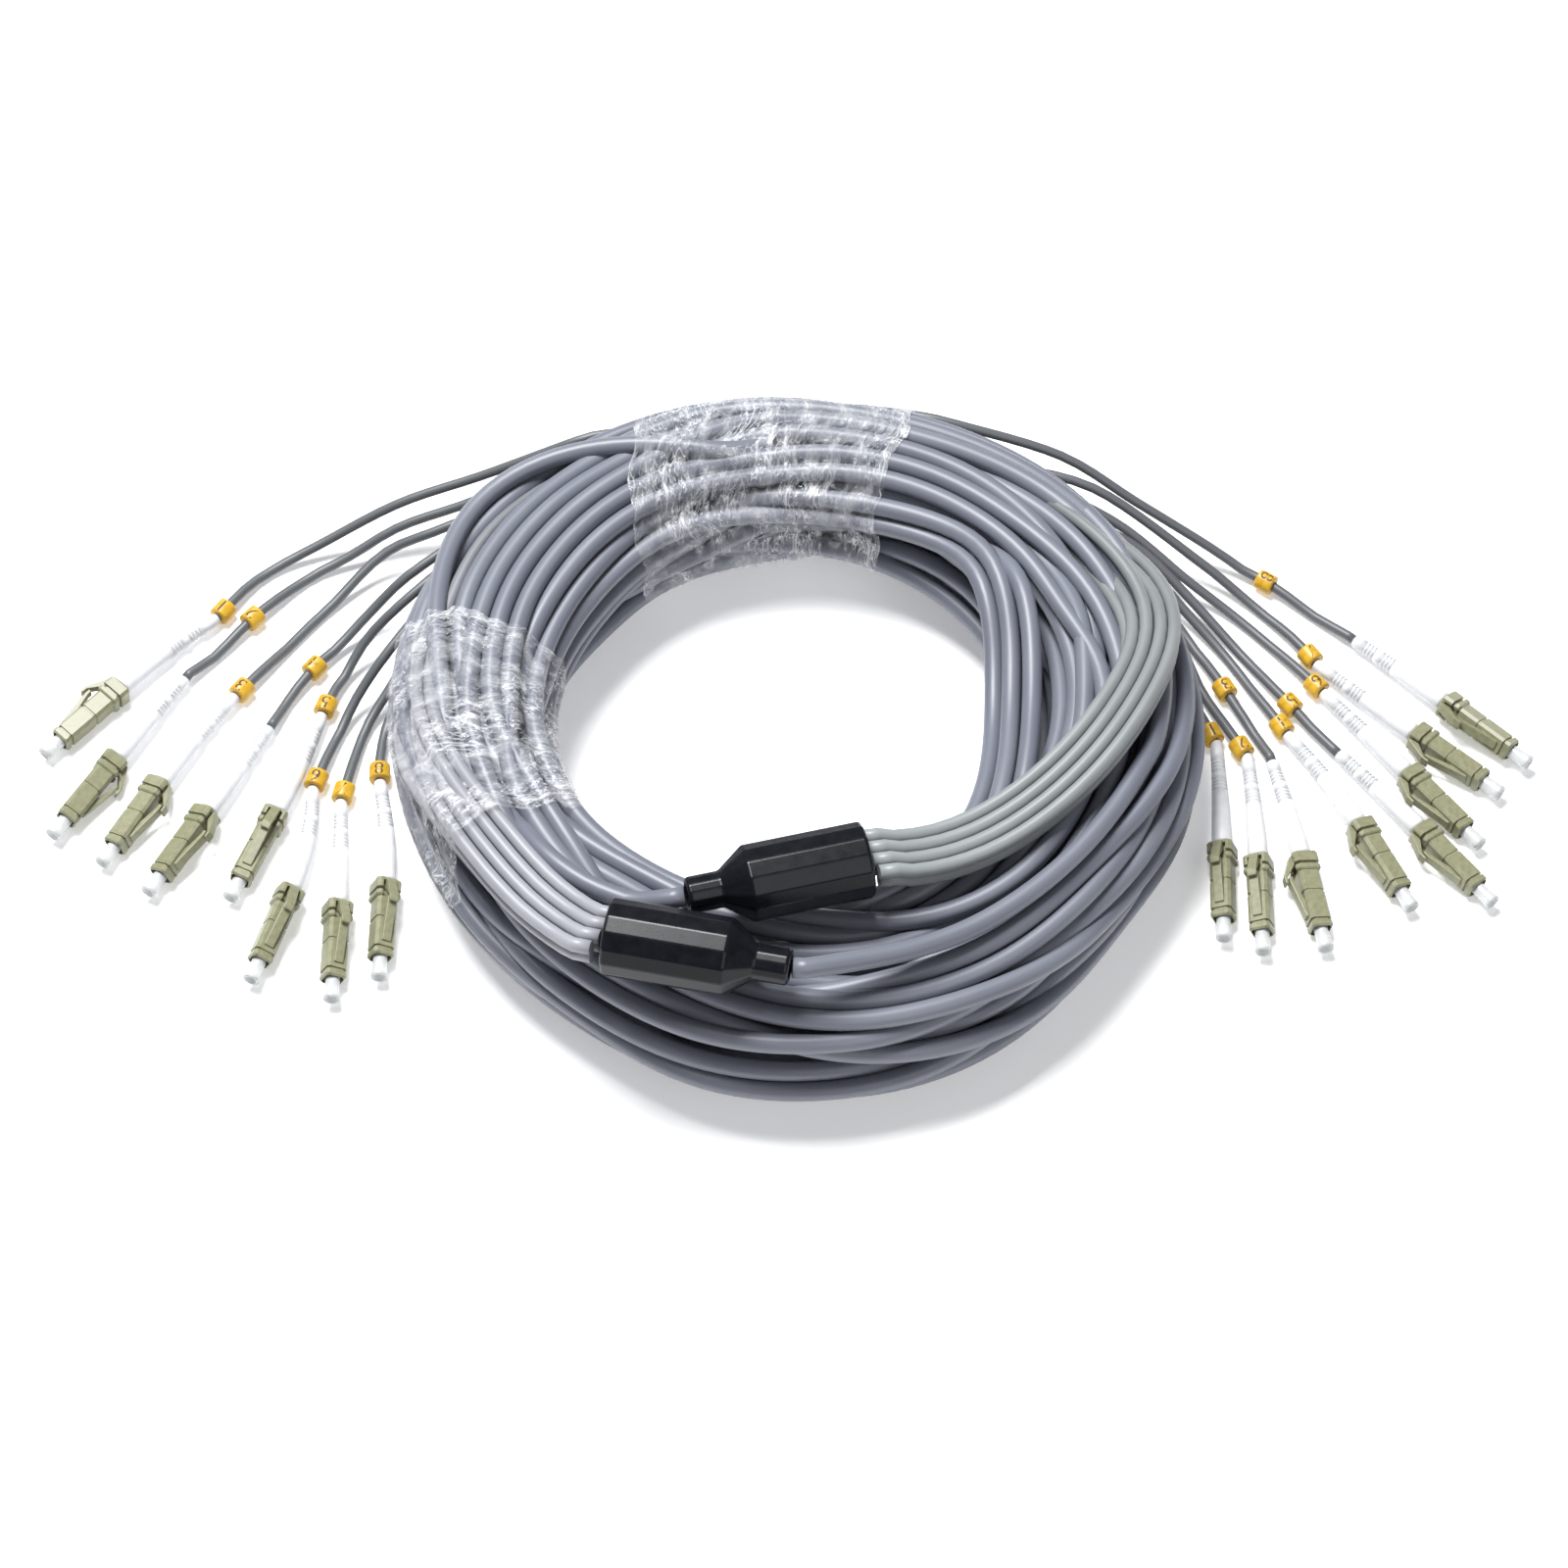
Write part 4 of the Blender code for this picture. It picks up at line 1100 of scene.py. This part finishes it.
def leg_route(strands, row, key):
    """A leg's whole route, and the place and direction of its marker sleeve."""
    housing = HOUSING_OF[key.split("_")[0]]
    (angle, height), plan, marker_gap = LEGS[key][:3]
    inside = strands.leg_route(row, key)
    big_end, away = way_out(housing, False)
    aside = Vector((inside[0].x, inside[0].y, 0)).normalized()
    number = row - TURNS
    across = (number % 4 - 1.5) * LEG_PITCH
    upward = (0.5 if number % 8 < 4 else -0.5) * LEG_PITCH
    start = big_end + away * CLEARANCE + aside * across + Vector((0, 0, upward))
    middle, half = section_frame(angle)
    rise = (height * MM - middle[1]) / half[1]
    reach = half[0] * max(0.0, 1.0 - abs(rise) ** SECTION_POWER) ** (1 / SECTION_POWER)
    leave = polar(angle, middle[0] + reach + CLEARANCE + LEG_DIAMETER / 2, height * MM)
    bends = [in_fan(key, outward, y, z * MM) for outward, y, z in plan]
    centres, headings = boot_path(key)
    boot_direction = turned_frame(headings[0], 0.0)[0]
    end = centres[0] - boot_direction * CLEARANCE
    corners = [start, start + away * STRAIGHT_END * 2] + inside + [leave] + bends
    corners.append(end - boot_direction * STRAIGHT_END)
    route = smooth_route(corners, LEG_DIAMETER * LEG_STEP) + [end]
    lying = LEG_DIAMETER / 2 + FLOOR_GAP
    left = route_length(route)
    for i, spot in enumerate(route):
        if i:
            left -= (spot - route[i - 1]).length
        near = max(0.0, 1.0 - abs(left - marker_gap * MM) / MARKER_LIFT_SPAN)
        spot.z = max(spot.z, lying + (MARKER_HEIGHT - lying) * ease(near) ** 0.5)
    left = 0.0
    for before, after in zip(route[-2::-1], route[::-1]):
        left += (after - before).length
        if left >= marker_gap * MM:
            return route, before.lerp(after, (left - marker_gap * MM) / (after - before).length), \
                (after - before).normalized()
    raise ValueError(key)


def make_film(name, outside, inside, strands, paint):
    """Stretch film pulled tight round the strands, with fine creases across the bundle."""
    turns = np.arange(FILM_SIDES) * math.tau / FILM_SIDES
    inward = (1 - np.cos(turns)) / 2
    edges = [low + (high - low) * inward for low, high in zip(outside, inside)]
    for size, waves, start in FILM_EDGE_WAVES:
        edges = [edge + size * np.sin(waves * turns + start) for edge in edges]
    grid = np.arange(edges[0].min(), edges[1].max() + FILM_STEP, FILM_STEP)
    reach = np.array([strands.film_radius(angle, turns) for angle in grid]) + FILM_OFF
    rings = []
    for share in np.linspace(0.0, 1.0, FILM_ROWS):
        ring = []
        for i, turn in enumerate(turns):
            angle = edges[0][i] + (edges[1][i] - edges[0][i]) * share
            distance = np.interp(angle, grid, reach[:, i])
            way = Vector((math.cos(turn), math.sin(turn)))
            creased = Vector((angle * CREASES_ALONG + way.x, way.x * CREASES_AROUND, way.y * CREASES_AROUND))
            ridge = 1.0 - abs(noise.noise(creased * CREASE_SCALE)) * CREASE_SHARPNESS
            distance += CRINKLE * (max(0.0, ridge) ** 2 - CREASE_BASE)
            middle, _ = section_frame(angle)
            spot = polar(angle, middle[0] + way.x * distance, middle[1] + way.y * distance)
            spot.z = max(spot.z, FLOOR_GAP)
            ring.append(spot)
        rings.append(ring)
    film = skin(name.replace("_wrap", ""), rings, paint, ends=False)
    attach(film, "root")
    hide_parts(name)


def make_stage():
    mesh = bpy.data.meshes.new("floor")
    far = FLOOR_HALF
    mesh.from_pydata([(-far, -far, 0), (far, -far, 0), (far, far, 0), (-far, far, 0)], [], [(0, 1, 2, 3)])
    mesh.materials.append(moulded("pale_floor", (0.92, 0.92, 0.93), (0.9, 0.9, 0.91), 0.7, mottle=6.0,
                                  bump=0.0, Emission_Color=(1.0, 1.0, 1.0, 1.0),
                                  Emission_Strength=FLOOR_GLOW))
    floor = add_object("floor", mesh)
    world = bpy.data.worlds.new("studio")
    world.use_nodes = True
    world.node_tree.nodes["Background"].inputs["Color"].default_value = WORLD_COLOUR
    world.node_tree.nodes["Background"].inputs["Strength"].default_value = WORLD_STRENGTH
    bpy.context.scene.world = world
    for name, place, size, power in LAMPS:
        light = bpy.data.lights.new(name, "AREA")
        light.size = size
        light.energy = power
        lamp = add_object(name, light)
        lamp.location = place
        lamp.rotation_euler = (CAMERA_AIM - Vector(place)).to_track_quat("-Z", "Y").to_euler()


def make_camera():
    camera = add_object("camera", bpy.data.cameras.new("camera"))
    camera.data.lens = CAMERA_LENS
    camera.data.clip_start = 0.05
    tilt = math.radians(CAMERA_ELEVATION)
    camera.location = CAMERA_AIM + Vector((0, -math.cos(tilt), math.sin(tilt))) * CAMERA_DISTANCE
    camera.rotation_euler = (math.pi / 2 - tilt, 0, 0)
    bpy.context.scene.camera = camera
    bpy.context.scene.view_settings.view_transform = "Standard"


def make_leg(key, route, paint):
    """A leg, thicker near its housing."""
    run = np.concatenate([[0.0], np.cumsum([(b - a).length for a, b in zip(route, route[1:])])])
    thin = np.clip((run / (COIL_RADIUS * math.radians(STATION_STEP)) - LEG_THINS[0])
                   / (LEG_THINS[1] - LEG_THINS[0]), 0.0, 1.0)
    radii = (LEG_START_DIAMETER + (LEG_DIAMETER - LEG_START_DIAMETER) * thin) / 2
    leg = skin("leg_cable_" + key, cord_rings(route, radii, LEG_SIDES), paint)
    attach(leg, "root")
    replaced = ["leg_" + key]
    if key.endswith("_1"):
        replaced.append("leg_bundle_" + HOUSING_OF[key.split("_")[0]])
    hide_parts(*replaced)


def main():
    make_camera()
    make_stage()
    jacket = moulded("trunk_jacket", (0.165, 0.177, 0.214), (0.132, 0.142, 0.178), 0.42,
                     mottle=150.0, grain=1800.0, bump=0.12, along=6.0, Specular_IOR_Level=0.55)
    leg_jackets = {
        "a": leg_material("leg_jacket_a", (0.33, 0.34, 0.375), (0.1, 0.105, 0.115), 0.0, 0.2),
        "b": leg_material("leg_jacket_b", (0.275, 0.297, 0.304), (0.1, 0.108, 0.115), 0.0, 0.24),
    }
    black = moulded("breakout_black", (0.007, 0.008, 0.011), (0.004, 0.005, 0.007), 0.24, bump=0.05,
                    Specular_IOR_Level=0.25)
    beige = moulded("connector_beige", (0.25, 0.25, 0.155), (0.2, 0.2, 0.12), 0.36, mottle=900.0, bump=0.08)
    white = moulded("boot_white", (0.72, 0.73, 0.745), (0.66, 0.67, 0.69), 0.42, bump=0.05)
    milky = moulded("cap_milky", (0.76, 0.78, 0.78), (0.7, 0.72, 0.72), 0.25, bump=0.03,
                    Transmission_Weight=0.35)
    yellow = moulded("marker_yellow", (0.66, 0.4, 0.03), (0.5, 0.27, 0.015), 0.4, mottle=700.0, bump=0.1)
    ink = moulded("marker_ink", (0.05, 0.03, 0.015), (0.08, 0.05, 0.02), 0.6, bump=0.0)
    clear = film_material()
    strands = Strands()
    strands.add_trunk()
    for row, key in enumerate(LEGS, start=TURNS):
        strands.add_leg(row, key, (row - TURNS) % 8)
    strands.settle()
    make_trunk(strands, jacket)
    for key in BREAKOUTS:
        make_breakout(key, black)
    for name, outside, inside in FILM_WRAPS:
        make_film(name, outside, inside, strands, clear)
    latch_outline, trigger_outline = latch_outlines()
    housing = make_housing(beige)
    latch = make_strip("latch", latch_outline, LATCH_WIDTH, beige)
    trigger = make_strip("trigger", trigger_outline, TRIGGER_WIDTH, beige)
    cap = make_cap(milky)
    for row, key in enumerate(LEGS, start=TURNS):
        place = connector_matrix(key)
        on_leg = [
            put(housing, "connector_" + key, place, "lc_connector_" + key),
            put(latch, "latch_" + key, place, None),
            put(trigger, "trigger_" + key, place, None),
            put(cap, "cap_" + key, place, "dust_cap_" + key),
            make_boot(key, white),
        ]
        route, spot, ahead = leg_route(strands, row, key)
        on_leg.append(make_marker(key, spot, ahead, yellow, ink))
        make_leg(key, route, leg_jackets[HOUSING_OF[key.split("_")[0]]])
    for source in (housing, latch, trigger, cap):
        bpy.data.objects.remove(source)


main()
